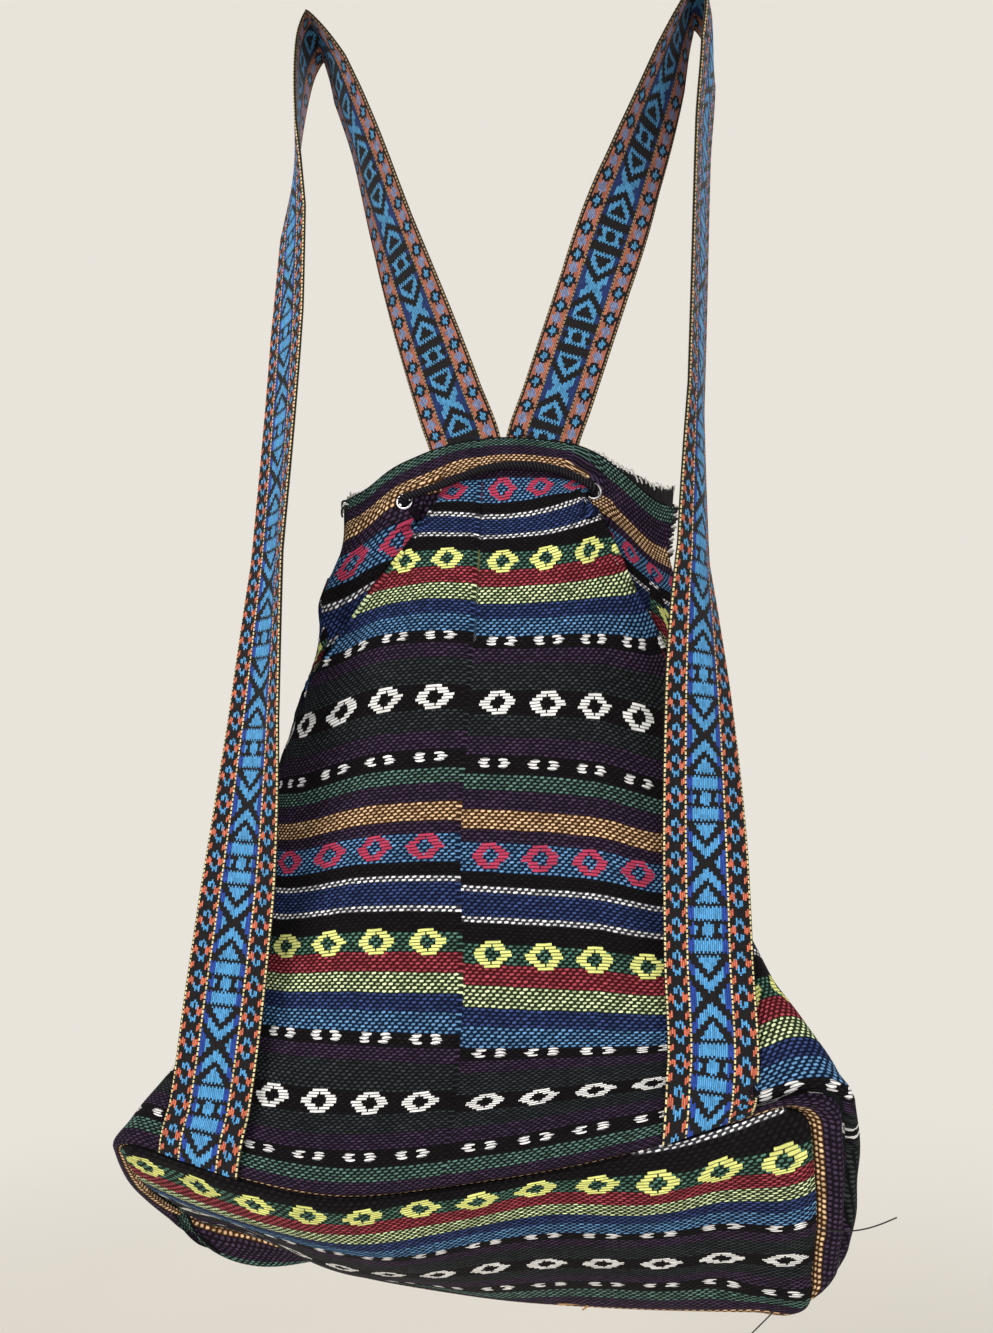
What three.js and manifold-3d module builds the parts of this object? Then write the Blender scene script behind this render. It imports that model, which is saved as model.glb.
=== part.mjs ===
// Drawstring backpack of striped woven cotton, hanging by both straps. Millimetres, +Z up,
// the wearer's side towards -Y. The origin lies between the two hooks that the straps hang on.
import * as THREE from 'three';
import Module from 'manifold-3d';

// Bag: cloth length from base seam to rim, base panel, cloth and hem thickness.
const BAG_HEIGHT = 372;
const BASE_WIDTH = 320;
const BASE_DEPTH = 128;
const BASE_CORNER = 20;
const CLOTH = 1.4;
const SEAM = 2.2;
const HEM = 36;
const HEM_CLOTH = 2.4;
// Small gap between pieces that are sewn or clamped together.
const SEAT = 0.35;

// Hanging: hooks down to the back rim, hook spacing, shift of the mouth and lean of the base.
const HANG = 237;
const HOOK_HALF = 108;
const MOUTH_SHIFT = -8;
const LEAN = 25;
// Base seam: how far it stands out towards the wearer, and its sag at the back and front.
const BASE_OUT = 62;
const SAG_BACK = 31;
const SAG_FRONT = 14;
const TILT_LEFT = 43;
const TILT_RIGHT = 64;
const BELLY = 24;

// Gathered mouth: half width and half depth of its ring, distance of the cord line from the rim.
const MOUTH_HALF = 72;
const MOUTH_DEEP = 26;
const CORD_LINE = 23;
// Folds from the back seam round to the front: out or in, and how far the rim drops at each.
const FOLD = [0, 0, 27, 0, -22, 0, 24, 0, 18];
const DROP = [0, 11, 52, 20, 34, 50, 84, 72, 88];

// Eyelets and drawcord.
const EYELETS = 8;
const EYELET_R = 4.9;
const EYELET_HOLE = 3.2;
const CORD = 4.4;
const TAIL = 120;

// Straps: width, thickness, crown radius over the hook, where the ends are sewn.
const STRAP_WIDTH = 40;
const STRAP_THICK = 1.8;
const CROWN = 7;
const STRAP_TOP = 23;
const STRAP_FOOT_LEFT = -116;
const STRAP_FOOT_RIGHT = 110;
const STRAP_TUCK = 26;

const RING = 2 * (BASE_WIDTH + BASE_DEPTH) - (8 - 2 * Math.PI) * BASE_CORNER;
const COLUMNS = 9 * EYELETS;
const HOLE_V = BAG_HEIGHT - CORD_LINE;

const { lerp, clamp, smoothstep, degToRad } = THREE.MathUtils;
const vec = (x, y, z) => new THREE.Vector3(x, y, z);
const bump = (x, width) => Math.exp(-((x / width) ** 2));

// Outline of the base panel, from the middle of the back seam to the right and round.
const outline = new THREE.Path();
const side = BASE_WIDTH / 2 - BASE_CORNER;
const front = BASE_DEPTH - BASE_CORNER;
outline.moveTo(0, 0);
outline.lineTo(side, 0);
outline.absarc(side, BASE_CORNER, BASE_CORNER, -Math.PI / 2, 0);
outline.lineTo(BASE_WIDTH / 2, front);
outline.absarc(side, front, BASE_CORNER, 0, Math.PI / 2);
outline.lineTo(-side, BASE_DEPTH);
outline.absarc(-side, front, BASE_CORNER, Math.PI / 2, Math.PI);
outline.lineTo(-BASE_WIDTH / 2, BASE_CORNER);
outline.absarc(-side, BASE_CORNER, BASE_CORNER, Math.PI, 1.5 * Math.PI);
outline.lineTo(0, 0);

// A point of the base: p across from the middle, q from the back seam to the front seam.
function basePoint(p, q) {
  const across = p / (BASE_WIDTH / 2);
  const deep = q / BASE_DEPTH;
  const tilt = degToRad(lerp(TILT_LEFT, TILT_RIGHT, (across + 1) / 2));
  const round = 9 * Math.sin(Math.PI * deep) * (1 - across * across);
  const hollow = Math.max(0, 1 - across * across);
  const x = MOUTH_SHIFT - LEAN + p * 0.996 + q * 0.03;
  const y = 8 - BASE_OUT - p * 0.043 + q * Math.cos(tilt) - round * Math.sin(tilt) + 10 * deep * hollow;
  const z0 = -HANG - 0.985 * BAG_HEIGHT + SAG_BACK;
  const z = z0 + p * 0.078 - q * Math.sin(tilt) - round * Math.cos(tilt)
    - lerp(SAG_BACK * (1 - 0.15 * across), SAG_FRONT, deep) * hollow;
  return vec(x, y, z);
}

// Rim of the mouth as a closed curve through the eyelets and the folds between them.
function rimPoint(k) {
  const half = k <= 8 ? k : 16 - k;
  const hand = k <= 8 ? 1 : -1;
  const ear = half === 2 && hand < 0 ? 0.8 : 1;
  const turn = degToRad(-48 + 138 * Math.max(0, (half - 1) / 7) ** 0.85);
  let x = MOUTH_HALF * Math.cos(turn);
  let y = 28 + MOUTH_DEEP * Math.sin(turn);
  x += FOLD[half] * Math.cos(turn);
  y += FOLD[half] * Math.max(0, Math.sin(turn));
  if (half < 2) {
    x = half * RING / 16;
    y = 8 + 3 * half;
  }
  return vec(MOUTH_SHIFT + hand * x, y, -HANG - DROP[half] * ear);
}
const rim = new THREE.CatmullRomCurve3(
  Array.from({ length: 16 }, (_, k) => rimPoint(k)), true, 'catmullrom', 0.5);

// Outside of the bag's cloth: u round from the back seam, v up from the base seam.
function drape(u, v) {
  const t = v / BAG_HEIGHT;
  const low = 1 - t;
  const where = (u / RING + 2) % 1;
  const pq = outline.getPointAt(where);
  const foot = basePoint(pq.x, pq.y);
  const top = rim.getPoint(where);
  const pinch = 1 - 0.05 * bump(v - HOLE_V, 14);
  const point = vec(
    lerp(MOUTH_SHIFT + (top.x - MOUTH_SHIFT) * pinch, foot.x, low ** 1.7),
    lerp(8 + (top.y - 8) * pinch, foot.y, low ** 1.25),
    lerp(foot.z, top.z, t));
  // The lower cloth swells past the base seam at the ends and at the front.
  const swell = (peak) => (t / peak) * Math.exp(1 - t / peak);
  const end = pq.x / (BASE_WIDTH / 2);
  point.x += BELLY * end ** 3 * (end > 0 ? swell(0.06) + 0.25 * swell(0.18) : 0.3 * swell(0.06));
  point.x += end < 0 ? 16 * end * bump(t - 0.58, 0.24) : 0;
  point.y += 0.6 * BELLY * (pq.y / BASE_DEPTH) * swell(0.14);
  // Slack cloth lies in low folds over the middle of the back seam.
  const around = where > 0.5 ? where - 1 : where;
  const slack = bump(around * RING, 95) * Math.exp(-v / 55);
  point.y -= 6 * slack * Math.sin(v / 8.5);
  // A pleat runs down and outwards from each back eyelet.
  const fall = clamp((HOLE_V - v) / 110, 0, 1);
  const crease = RING / 16 + 4 + 44 * fall;
  const depth = 8 * smoothstep(fall, 0.1, 0.3) * (1 - smoothstep(fall, 0.55, 1));
  point.y += depth * bump(Math.abs(around * RING) - crease - 5, 8);
  return point;
}

// Each eyelet sits on a small flat of cloth, so that it can be clamped there.
const flats = Array.from({ length: EYELETS }, (_, i) => {
  const u = (i + 0.5) * RING / EYELETS;
  const at = drape(u, HOLE_V);
  const across = drape(u + 5, HOLE_V).sub(drape(u - 5, HOLE_V)).normalize();
  const up = drape(u, HOLE_V + 5).sub(drape(u, HOLE_V - 5));
  up.addScaledVector(across, -up.dot(across)).normalize();
  return { u, at, across, up, out: across.clone().cross(up) };
});

function shell(u, v) {
  const point = drape(u, v);
  for (const flat of flats) {
    const du = ((u - flat.u) % RING + 1.5 * RING) % RING - RING / 2;
    const dv = v - HOLE_V;
    const hold = 1 - smoothstep(Math.hypot(du, dv), 9.5, 16);
    if (hold > 0) {
      const level = flat.at.clone().addScaledVector(flat.across, du).addScaledVector(flat.up, dv);
      point.lerp(level, hold);
    }
  }
  return point;
}

function outward(u, v) {
  const across = shell(u + 1.5, v).sub(shell(u - 1.5, v));
  const up = shell(u, Math.min(v + 1.5, BAG_HEIGHT)).sub(shell(u, Math.max(v - 1.5, 0)));
  return across.cross(up).normalize();
}

const clothAt = (v) => lerp(CLOTH, HEM_CLOTH, smoothstep(v, BAG_HEIGHT - HEM - 4, BAG_HEIGHT - HEM));

// A closed slab between a face and a back, both given on the same grid.
function slab(across, along, looped, face, back) {
  const width = looped ? across : across + 1;
  const points = [];
  for (const layer of [face, back]) {
    for (let j = 0; j <= along; j += 1) {
      for (let i = 0; i < width; i += 1) {
        points.push(layer(i, j));
      }
    }
  }
  const index = [];
  const count = width * (along + 1);
  const at = (i, j, layer) => layer * count + j * width + (i % width);
  const quad = (a, b, c, d) => index.push(a, b, c, a, c, d);
  for (let j = 0; j < along; j += 1) {
    for (let i = 0; i < across; i += 1) {
      quad(at(i, j, 0), at(i + 1, j, 0), at(i + 1, j + 1, 0), at(i, j + 1, 0));
      quad(at(i, j, 1), at(i, j + 1, 1), at(i + 1, j + 1, 1), at(i + 1, j, 1));
    }
    if (!looped) {
      quad(at(0, j, 0), at(0, j + 1, 0), at(0, j + 1, 1), at(0, j, 1));
      quad(at(across, j, 0), at(across, j, 1), at(across, j + 1, 1), at(across, j + 1, 0));
    }
  }
  for (let i = 0; i < across; i += 1) {
    quad(at(i, 0, 0), at(i, 0, 1), at(i + 1, 0, 1), at(i + 1, 0, 0));
    quad(at(i, along, 0), at(i + 1, along, 0), at(i + 1, along, 1), at(i, along, 1));
  }
  const geometry = new THREE.BufferGeometry().setFromPoints(points);
  geometry.setIndex(index);
  return geometry;
}

// Bag body, with a hole through the hem at each eyelet.
const steps = [0, 0.022, 0.052, 0.086, 0.125, 0.18, 0.26, 0.36, 0.47, 0.575, 0.675, 0.77, 0.85];
const rows = [...steps.map((s) => s * BAG_HEIGHT), BAG_HEIGHT - HEM, HOLE_V - 6, HOLE_V + 6, BAG_HEIGHT];
const columnAt = (i) => i * RING / COLUMNS;
// The foot of the tube is trimmed to the base, where the seam is.
function lining(u, v) {
  if (v > 0) {
    return shell(u, v).addScaledVector(outward(u, v), -clothAt(v));
  }
  const pq = outline.getPointAt(u / RING);
  const go = outline.getTangentAt(u / RING);
  return basePoint(pq.x - SEAM * go.y, pq.y + SEAM * go.x);
}
const tube = slab(COLUMNS, rows.length - 1, true,
  (i, j) => shell(columnAt(i), rows[j]), (i, j) => lining(columnAt(i), rows[j]));

const wasm = await Module();
wasm.setup();
const toSolid = (geometry) => new wasm.Manifold(new wasm.Mesh({
  numProp: 3,
  vertProperties: new Float32Array(geometry.attributes.position.array),
  triVerts: new Uint32Array(geometry.index.array),
}));
function toGeometry(solid) {
  const mesh = solid.getMesh();
  const geometry = new THREE.BufferGeometry();
  geometry.setAttribute('position', new THREE.BufferAttribute(mesh.vertProperties, 3));
  geometry.setIndex(new THREE.BufferAttribute(mesh.triVerts, 1));
  return geometry;
}
function ringed(profile, sides, flat) {
  const last = profile.length;
  const points = [];
  const index = [];
  for (let i = 0; i < sides; i += 1) {
    const turn = 2 * Math.PI * i / sides;
    for (const [r, h] of profile) {
      points.push(flat.at.clone()
        .addScaledVector(flat.across, r * Math.cos(turn))
        .addScaledVector(flat.up, r * Math.sin(turn))
        .addScaledVector(flat.out, h));
    }
  }
  for (let i = 0; i < sides; i += 1) {
    const a = i * last;
    const b = ((i + 1) % sides) * last;
    for (let j = 0; j < last; j += 1) {
      const n = (j + 1) % last;
      index.push(a + j, b + j, b + n, a + j, b + n, a + n);
    }
  }
  const geometry = new THREE.BufferGeometry().setFromPoints(points);
  geometry.setIndex(index);
  return geometry;
}
const barrel = EYELET_HOLE + 0.5;
let body = toSolid(tube);
for (const flat of flats) {
  const punch = new THREE.CylinderGeometry(barrel + SEAT, barrel + SEAT, 4 * HEM_CLOTH, 12).toNonIndexed();
  const place = new THREE.Matrix4().makeBasis(flat.across, flat.out, flat.across.clone().cross(flat.out));
  place.setPosition(flat.at.clone().addScaledVector(flat.out, -HEM_CLOTH / 2));
  punch.applyMatrix4(place);
  const position = punch.attributes.position;
  const merged = new wasm.Mesh({
    numProp: 3,
    vertProperties: new Float32Array(position.array),
    triVerts: Uint32Array.from({ length: position.count }, (_, i) => i),
  });
  merged.merge();
  body = body.subtract(new wasm.Manifold(merged));
}

// Base panel, sewn on under the foot of the tube.
const inset = SEAT;
const baseRows = [0, 0.1, 0.4, 1].map((s) => s * BASE_CORNER);
const qs = [...baseRows, BASE_DEPTH / 2, ...baseRows.map((s) => BASE_DEPTH - s).reverse()];
const baseAcross = 21;
function baseGrid(i, j, lift) {
  const q = clamp(qs[j], inset, BASE_DEPTH - inset);
  const over = Math.max(0, Math.abs(qs[j] - BASE_DEPTH / 2) - (BASE_DEPTH / 2 - BASE_CORNER));
  const half = BASE_WIDTH / 2 - BASE_CORNER + Math.sqrt(Math.max(0, BASE_CORNER ** 2 - over ** 2)) - inset;
  const p = half * (2 * i / baseAcross - 1);
  const dp = basePoint(p + 1, q).sub(basePoint(p - 1, q));
  const dq = basePoint(p, q + 1).sub(basePoint(p, q - 1));
  const down = dq.cross(dp).normalize();
  return basePoint(p, q).addScaledVector(down, -lift);
}
const base = slab(baseAcross, qs.length - 1, false, (i, j) => baseGrid(i, j, -SEAT), (i, j) => baseGrid(i, j, -SEAT - CLOTH));

// Straps: from inside the rim, up and over the hook, down to the base seam.
function strap(hand, footU) {
  const lay = (u, v, lift) => shell(u, v).addScaledVector(outward(u, v), lift);
  const inside = -HEM_CLOTH - 2 * SEAT - STRAP_THICK / 2;
  const outside = SEAT + STRAP_THICK / 2;
  const topU = hand * STRAP_TOP;
  const tuck = lay(topU, BAG_HEIGHT - STRAP_TUCK, inside);
  const lip = lay(topU, BAG_HEIGHT - 3, inside);
  const foot = lay(footU, 1.5, outside + 0.3);
  const shin = lay(footU, 26, outside + 1.4);
  const hook = vec(hand * HOOK_HALF, 0, 0);
  const inner = hook.clone().add(vec(-hand * CROWN, 0, -4));
  const outer = hook.clone().add(vec(hand * CROWN, 0, -4));
  const crown = hook.clone().add(vec(0, 0, CROWN));
  const between = (a, b, s) => a.clone().lerp(b, s);
  const bow = (s) => vec(-hand * (hand < 0 ? 12 : 5) * Math.sin(Math.PI * s ** 0.8), 0, 0);
  const route = new THREE.CatmullRomCurve3([
    tuck, lip, between(lip, inner, 0.12).add(vec(-hand * 3, 0.5, 0)),
    ...[0.35, 0.6, 0.85].map((s) => between(lip, inner, s)),
    inner, crown, outer,
    ...[0.15, 0.35, 0.55, 0.75, 0.9].map((s) => between(outer, shin, s).add(bow(s))),
    shin, foot,
  ]);
  const along = 40;
  const half = 3;
  const knots = route.points.length - 1;
  const peak = crown.z;
  // A point of the band: j along it, q across it, lifted off its middle layer.
  const band = (j, q, lift) => {
    const t = knots * j / along;
    if (t <= 1) {
      const v = BAG_HEIGHT - lerp(STRAP_TUCK, 3, t);
      return lay(topU + q, v, inside - lift);
    }
    if (t >= knots - 1) {
      const low = t - knots + 1;
      return lay(footU + q, lerp(26, 1.5, low), outside + lerp(1.4, 0.3, low) + lift);
    }
    const at = route.getPoint(j / along);
    const go = route.getTangent(j / along);
    const back = vec(0, 1, 0).addScaledVector(go, -go.y).normalize();
    const wide = back.clone().cross(go);
    // The band turns edge-on over the hook and curls on its way down.
    const falling = t > 7;
    const rise = clamp((at.z - lip.z) / (peak - lip.z), 0, 1);
    const climb = clamp((at.z - foot.z) / (peak - foot.z), 0, 1);
    const up = 90 * Math.max(0, (rise - 0.2) / 0.8) ** 1.1;
    const down = 180 - 90 * smoothstep(climb, 0.08, 0.65);
    const curl = falling ? degToRad(42) * bump(climb - 0.42, 0.2) : degToRad(16) * bump(rise - 0.75, 0.2);
    const near = falling ? smoothstep(t, knots - 2.2, knots - 1) : 1 - smoothstep(t, 1, 2);
    const level = falling ? lay(footU + 5, 26, 0).sub(lay(footU - 5, 26, 0))
      : lay(topU + 5, BAG_HEIGHT - 3, 0).sub(lay(topU - 5, BAG_HEIGHT - 3, 0));
    level.addScaledVector(go, -level.dot(go)).normalize();
    const cells = 4;
    const stride = q / cells;
    let across = wide;
    for (let s = 1; s <= cells; s += 1) {
      const bend = curl * smoothstep(Math.abs(stride) * (s - 0.5), 0, 8);
      const turn = hand * (degToRad(falling ? down : up) - Math.sign(q) * bend);
      across = wide.clone().multiplyScalar(Math.cos(turn)).addScaledVector(back, Math.sin(turn));
      across.lerp(level, near).normalize();
      at.addScaledVector(across, stride);
    }
    return at.addScaledVector(go.cross(across).normalize(), lift);
  };
  const grid = (i, j, lift) => band(j, STRAP_WIDTH / 2 * (i / half - 1), lift);
  return slab(2 * half, along, false,
    (i, j) => grid(i, j, -STRAP_THICK / 2), (i, j) => grid(i, j, STRAP_THICK / 2));
}

// Round cord along a route, closed at both ends.
function cord(points, count) {
  const route = new THREE.CatmullRomCurve3(points, false, 'centripetal');
  const sides = 8;
  const frames = route.computeFrenetFrames(count, false);
  const rings = [];
  for (let j = 0; j <= count; j += 1) {
    const at = route.getPointAt(j / count);
    for (let i = 0; i < sides; i += 1) {
      const turn = 2 * Math.PI * i / sides;
      rings.push(at.clone()
        .addScaledVector(frames.normals[j], CORD / 2 * Math.cos(turn))
        .addScaledVector(frames.binormals[j], CORD / 2 * Math.sin(turn)));
    }
  }
  const index = [];
  for (let j = 0; j < count; j += 1) {
    for (let i = 0; i < sides; i += 1) {
      const n = (i + 1) % sides;
      const a = j * sides;
      index.push(a + i, a + n, a + sides + n, a + i, a + sides + n, a + sides + i);
    }
  }
  for (let i = 1; i < sides - 1; i += 1) {
    const z = count * sides;
    index.push(0, i + 1, i, z, z + i, z + i + 1);
  }
  const geometry = new THREE.BufferGeometry().setFromPoints(rings);
  geometry.setIndex(index);
  return geometry;
}

// Drawcord: in at one front eyelet, out and in round the mouth, out at the other front eyelet.
const through = (flat, lift) => flat.at.clone().addScaledVector(flat.out, lift);
const outLift = CORD / 2 + 2.2;
const inLift = -HEM_CLOTH - CORD / 2 - 2.4;
const order = [3, 2, 1, 0, 7, 6, 5, 4];
const threaded = [];
order.forEach((number, step) => {
  const flat = flats[number];
  const inward = [outLift, -HEM_CLOTH / 2, inLift];
  const lifts = step % 2 === 0 ? inward : inward.reverse();
  lifts.forEach((lift) => threaded.push(through(flat, lift)));
  if (number === 0) {
    const arch = shell(0, BAG_HEIGHT - 15).addScaledVector(outward(0, BAG_HEIGHT - 15), CORD / 2 + 1);
    for (const s of [-0.5, 0, 0.5]) {
      const spot = shell(-s * RING / EYELETS * 0.62, BAG_HEIGHT - 15 - 12 * s * s);
      threaded.push(spot.setY(Math.min(arch.y, spot.y - CORD / 2 - 1)));
    }
  }
});
// Each free end goes on from the cord's end in front of its eyelet and bends down to the cloth.
function tail(flat) {
  const bend = 2 * CORD;
  const line = [0, 10, 35, 60, 90].map((degrees) => {
    const turn = degToRad(degrees);
    return through(flat, outLift + SEAT + bend * Math.sin(turn))
      .addScaledVector(flat.up, bend * (Math.cos(turn) - 1));
  });
  const proud = outLift + SEAT + bend;
  for (let d = bend + 12; d <= TAIL; d += 12) {
    const v = HOLE_V - d;
    const lift = lerp(proud, CORD / 2 + 2.5, smoothstep(d, bend, TAIL / 2));
    line.push(shell(flat.u, v).addScaledVector(outward(flat.u, v), lift));
  }
  return line;
}

const group = new THREE.Group();
const palette = {
  weave: [0x3a2f45, 0.95, 0],
  band: [0x3c7fb8, 0.85, 0],
  cord: [0x141316, 0.8, 0],
  nickel: [0xc4c4c6, 0.3, 0.9],
};
function add(name, geometry, look) {
  const [color, roughness, metalness] = palette[look];
  const material = new THREE.MeshStandardMaterial({ color, roughness, metalness });
  material.name = look;
  geometry.computeVertexNormals();
  const mesh = new THREE.Mesh(geometry, material);
  mesh.name = name;
  group.add(mesh);
}
add('bag_body', toGeometry(body), 'weave');
add('base_panel', base, 'weave');
add('strap_left', strap(-1, STRAP_FOOT_LEFT), 'band');
add('strap_right', strap(1, STRAP_FOOT_RIGHT), 'band');
add('drawcord', cord(threaded, 76), 'cord');
add('cord_tail_right', cord(tail(flats[3]), 22), 'cord');
add('cord_tail_left', cord(tail(flats[4]), 22), 'cord');
const flange = 0.7;
const profile = [
  [EYELET_HOLE, SEAT + flange], [EYELET_HOLE, -HEM_CLOTH - SEAT - flange],
  [EYELET_R, -HEM_CLOTH - SEAT - flange], [EYELET_R, -HEM_CLOTH - SEAT],
  [barrel, -HEM_CLOTH - SEAT], [barrel, SEAT], [EYELET_R, SEAT], [EYELET_R, SEAT + flange],
];
flats.forEach((flat, i) => add(`eyelet_${i + 1}`, ringed(profile, 10, flat), 'nickel'));

export default group;
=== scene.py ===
"""Woven drawstring backpack hanging by both straps, seen from the wearer's side.

Lengths are worked out in millimetres, in the frame of the CAD model, and scaled to metres
when a mesh is made. u runs round the bag from the middle of the back, v up from the base seam.
"""
import math

import bpy
import numpy as np
from mathutils import Matrix, Vector

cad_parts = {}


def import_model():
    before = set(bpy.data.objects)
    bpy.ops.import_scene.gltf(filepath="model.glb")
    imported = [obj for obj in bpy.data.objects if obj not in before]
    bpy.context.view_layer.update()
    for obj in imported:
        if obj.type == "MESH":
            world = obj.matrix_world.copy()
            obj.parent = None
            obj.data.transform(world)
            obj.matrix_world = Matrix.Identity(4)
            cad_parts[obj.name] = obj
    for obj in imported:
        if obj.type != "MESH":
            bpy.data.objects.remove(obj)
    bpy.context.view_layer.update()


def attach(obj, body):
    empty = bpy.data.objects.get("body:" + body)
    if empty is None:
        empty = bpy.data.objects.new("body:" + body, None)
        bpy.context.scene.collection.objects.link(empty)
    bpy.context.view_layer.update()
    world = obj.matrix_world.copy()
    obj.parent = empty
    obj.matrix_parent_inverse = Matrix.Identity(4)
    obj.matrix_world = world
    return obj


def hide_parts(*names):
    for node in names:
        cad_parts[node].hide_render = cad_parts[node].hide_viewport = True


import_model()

MM = 0.001

# Sizes that the CAD source has too.
BAG_HEIGHT = 372.0
BASE_WIDTH = 320.0
BASE_DEPTH = 128.0
BASE_CORNER = 20.0
CLOTH = 1.4
HEM = 36.0
HEM_CLOTH = 2.4
SEAT = 0.35
HANG = 237.0
HOOK_HALF = 108.0
MOUTH_SHIFT = -8.0
LEAN = 25.0
BASE_OUT = 62.0
SAG_BACK = 31.0
SAG_FRONT = 14.0
TILT_LEFT = 43.0
TILT_RIGHT = 64.0
BELLY = 24.0
MOUTH_HALF = 72.0
MOUTH_DEEP = 26.0
CORD_LINE = 23.0
FOLD = [0, 0, 27, 0, -22, 0, 24, 0, 18]
DROP = [0, 11, 52, 20, 34, 50, 84, 72, 88]
EYELETS = 8
EYELET_R = 4.9
EYELET_HOLE = 3.2
CORD = 4.4
TAIL = 120.0
STRAP_WIDTH = 40.0
STRAP_THICK = 1.8
CROWN = 7.0
STRAP_TOP = 23.0
STRAP_FOOT_LEFT = -116.0
STRAP_FOOT_RIGHT = 110.0
STRAP_TUCK = 26.0
RING = 2 * (BASE_WIDTH + BASE_DEPTH) - (8 - 2 * math.pi) * BASE_CORNER
HOLE_V = BAG_HEIGHT - CORD_LINE

# How the base hangs: slopes, swell and bow.
BACK_Y = 8.0
BASE_SPREAD = 0.996
BASE_SKEW = 0.03
BASE_TURN = 0.043
BASE_SLOPE = 0.078
BASE_SWELL = 9.0
BASE_BOW = 10.0
SAG_SKEW = 0.15
SIDE_SHARE = 0.985

# How the rim hangs: its knots, the turn from the back to the front, and the ear on the left.
RIM_KNOTS = 16
RIM_START = -48.0
RIM_SWEEP = 138.0
RIM_EASE = 0.85
RIM_MIDDLE = 28.0
RIM_STEP = 3.0
LEFT_EAR = 0.8

# The cloth between rim and base: pinch at the cord, powers of the flare, bulges, waist and slack folds.
PINCH = 0.05
PINCH_REACH = 14.0
FLARE_ACROSS = 1.7
FLARE_DEEP = 1.25
LOW_BULGE = 0.06
HIGH_BULGE = 0.18
FRONT_BULGE = 0.14
WAIST = 16.0
WAIST_AT = 0.58
WAIST_REACH = 0.24
SLACK_DEPTH = 6.0
SLACK_SPREAD = 95.0
SLACK_REACH = 55.0
SLACK_WAVE = 8.5

# An eyelet holds the cloth flat out to the first distance and leaves it free past the second.
FLAT_HELD = 9.5
FLAT_FREE = 16.0

# Weave: one repeat of the stripes is a whole number of weft rows, motifs have an even pitch.
REPEAT = 194.0
ROWS = 125
ROW = REPEAT / ROWS
DASH = 3.25
PITCH = 24.447
FIRST_MOTIF = 14.0

# Woven band of the straps.
BAND_REPEAT = 58.0
BAND_MOTIF = BAND_REPEAT / 4
BAND_THREAD = 0.9


def lerp(a, b, t):
    return a + (b - a) * t


def smooth(x, low, high):
    """Rises smoothly from 0 at low to 1 at high."""
    t = np.clip((x - low) / (high - low), 0, 1)
    return t * t * (3 - 2 * t)


def bump(x, width):
    """1 at zero, fading on both sides."""
    return np.exp(-((x / width) ** 2))


def hump(x, low, full, still, gone):
    """Rises from 0 to 1 between the first two numbers and falls again between the last two."""
    return smooth(x, low, full) * (1 - smooth(x, still, gone))


def fading(v, reach):
    """1 at zero, such as at the base seam, fading as v grows."""
    return np.exp(-v / reach)


def spot(around, v, middle, spread, height, tall):
    """A soft patch of the cloth, 1 in its middle, by place round the bag and height."""
    return bump(around - middle, spread) * bump(v - height, tall)


def signed(u):
    """Place round the bag, from minus to plus half of the way."""
    return (u + RING / 2) % RING - RING / 2


def unit(v):
    return v / np.linalg.norm(v, axis=-1, keepdims=True)


def lengths(line):
    """Distance along a line of points, for each of them."""
    return np.concatenate([[0], np.cumsum(np.linalg.norm(np.diff(line, axis=0), axis=1))])


def ripple(u, v, seed, waves, longest):
    """Smooth unevenness from about -1 to 1 that closes round the bag."""
    draw = np.random.default_rng(seed)
    total = 0
    for _ in range(waves):
        turns = draw.integers(-RING // longest, RING // longest + 1)
        pace = draw.uniform(-1, 1) * 2 * math.pi / longest
        total = total + np.sin(2 * math.pi * turns * u / RING + pace * v + draw.uniform(0, 2 * math.pi))
    return total / math.sqrt(waves)


def outline(where):
    """Point (p, q) of the base's edge, by its share of the way round from the back seam's middle."""
    side = BASE_WIDTH / 2 - BASE_CORNER
    front = BASE_DEPTH - BASE_CORNER
    arc = math.pi / 2 * BASE_CORNER
    end = front - BASE_CORNER
    ends = np.concatenate([[0], np.cumsum([side, arc, end, arc, 2 * side, arc, end, arc, side])])
    along = np.asarray(where, float) % 1 * ends[-1]
    k = np.clip(np.searchsorted(ends, along, side="right") - 1, 0, 8)
    e = along - ends[k]
    cos = BASE_CORNER * np.cos(e / BASE_CORNER)
    sin = BASE_CORNER * np.sin(e / BASE_CORNER)
    zero = 0 * e
    p = [e, side + sin, zero + BASE_WIDTH / 2, side + cos, side - e,
         -side - sin, zero - BASE_WIDTH / 2, -side - cos, e - side]
    q = [zero, BASE_CORNER - cos, BASE_CORNER + e, front + sin, zero + BASE_DEPTH,
         front + cos, front - e, BASE_CORNER - sin, zero]
    return np.choose(k, p), np.choose(k, q)


def base_point(p, q):
    """Point of the base: p across from the middle, q from the back seam to the front seam."""
    across = p / (BASE_WIDTH / 2)
    deep = q / BASE_DEPTH
    tilt = np.radians(lerp(TILT_LEFT, TILT_RIGHT, (across + 1) / 2))
    hollow = np.maximum(0, 1 - across * across)
    swell = BASE_SWELL * np.sin(np.pi * deep) * (1 - across * across)
    x = MOUTH_SHIFT - LEAN + p * BASE_SPREAD + q * BASE_SKEW
    y = BACK_Y - BASE_OUT - p * BASE_TURN + BASE_BOW * deep * hollow
    y = y + q * np.cos(tilt) - swell * np.sin(tilt)
    sag = lerp(SAG_BACK * (1 - SAG_SKEW * across), SAG_FRONT, deep) * hollow
    z = -HANG - SIDE_SHARE * BAG_HEIGHT + SAG_BACK + p * BASE_SLOPE - sag
    z = z - q * np.sin(tilt) - swell * np.cos(tilt)
    return np.stack([x, y, z], -1)


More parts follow.
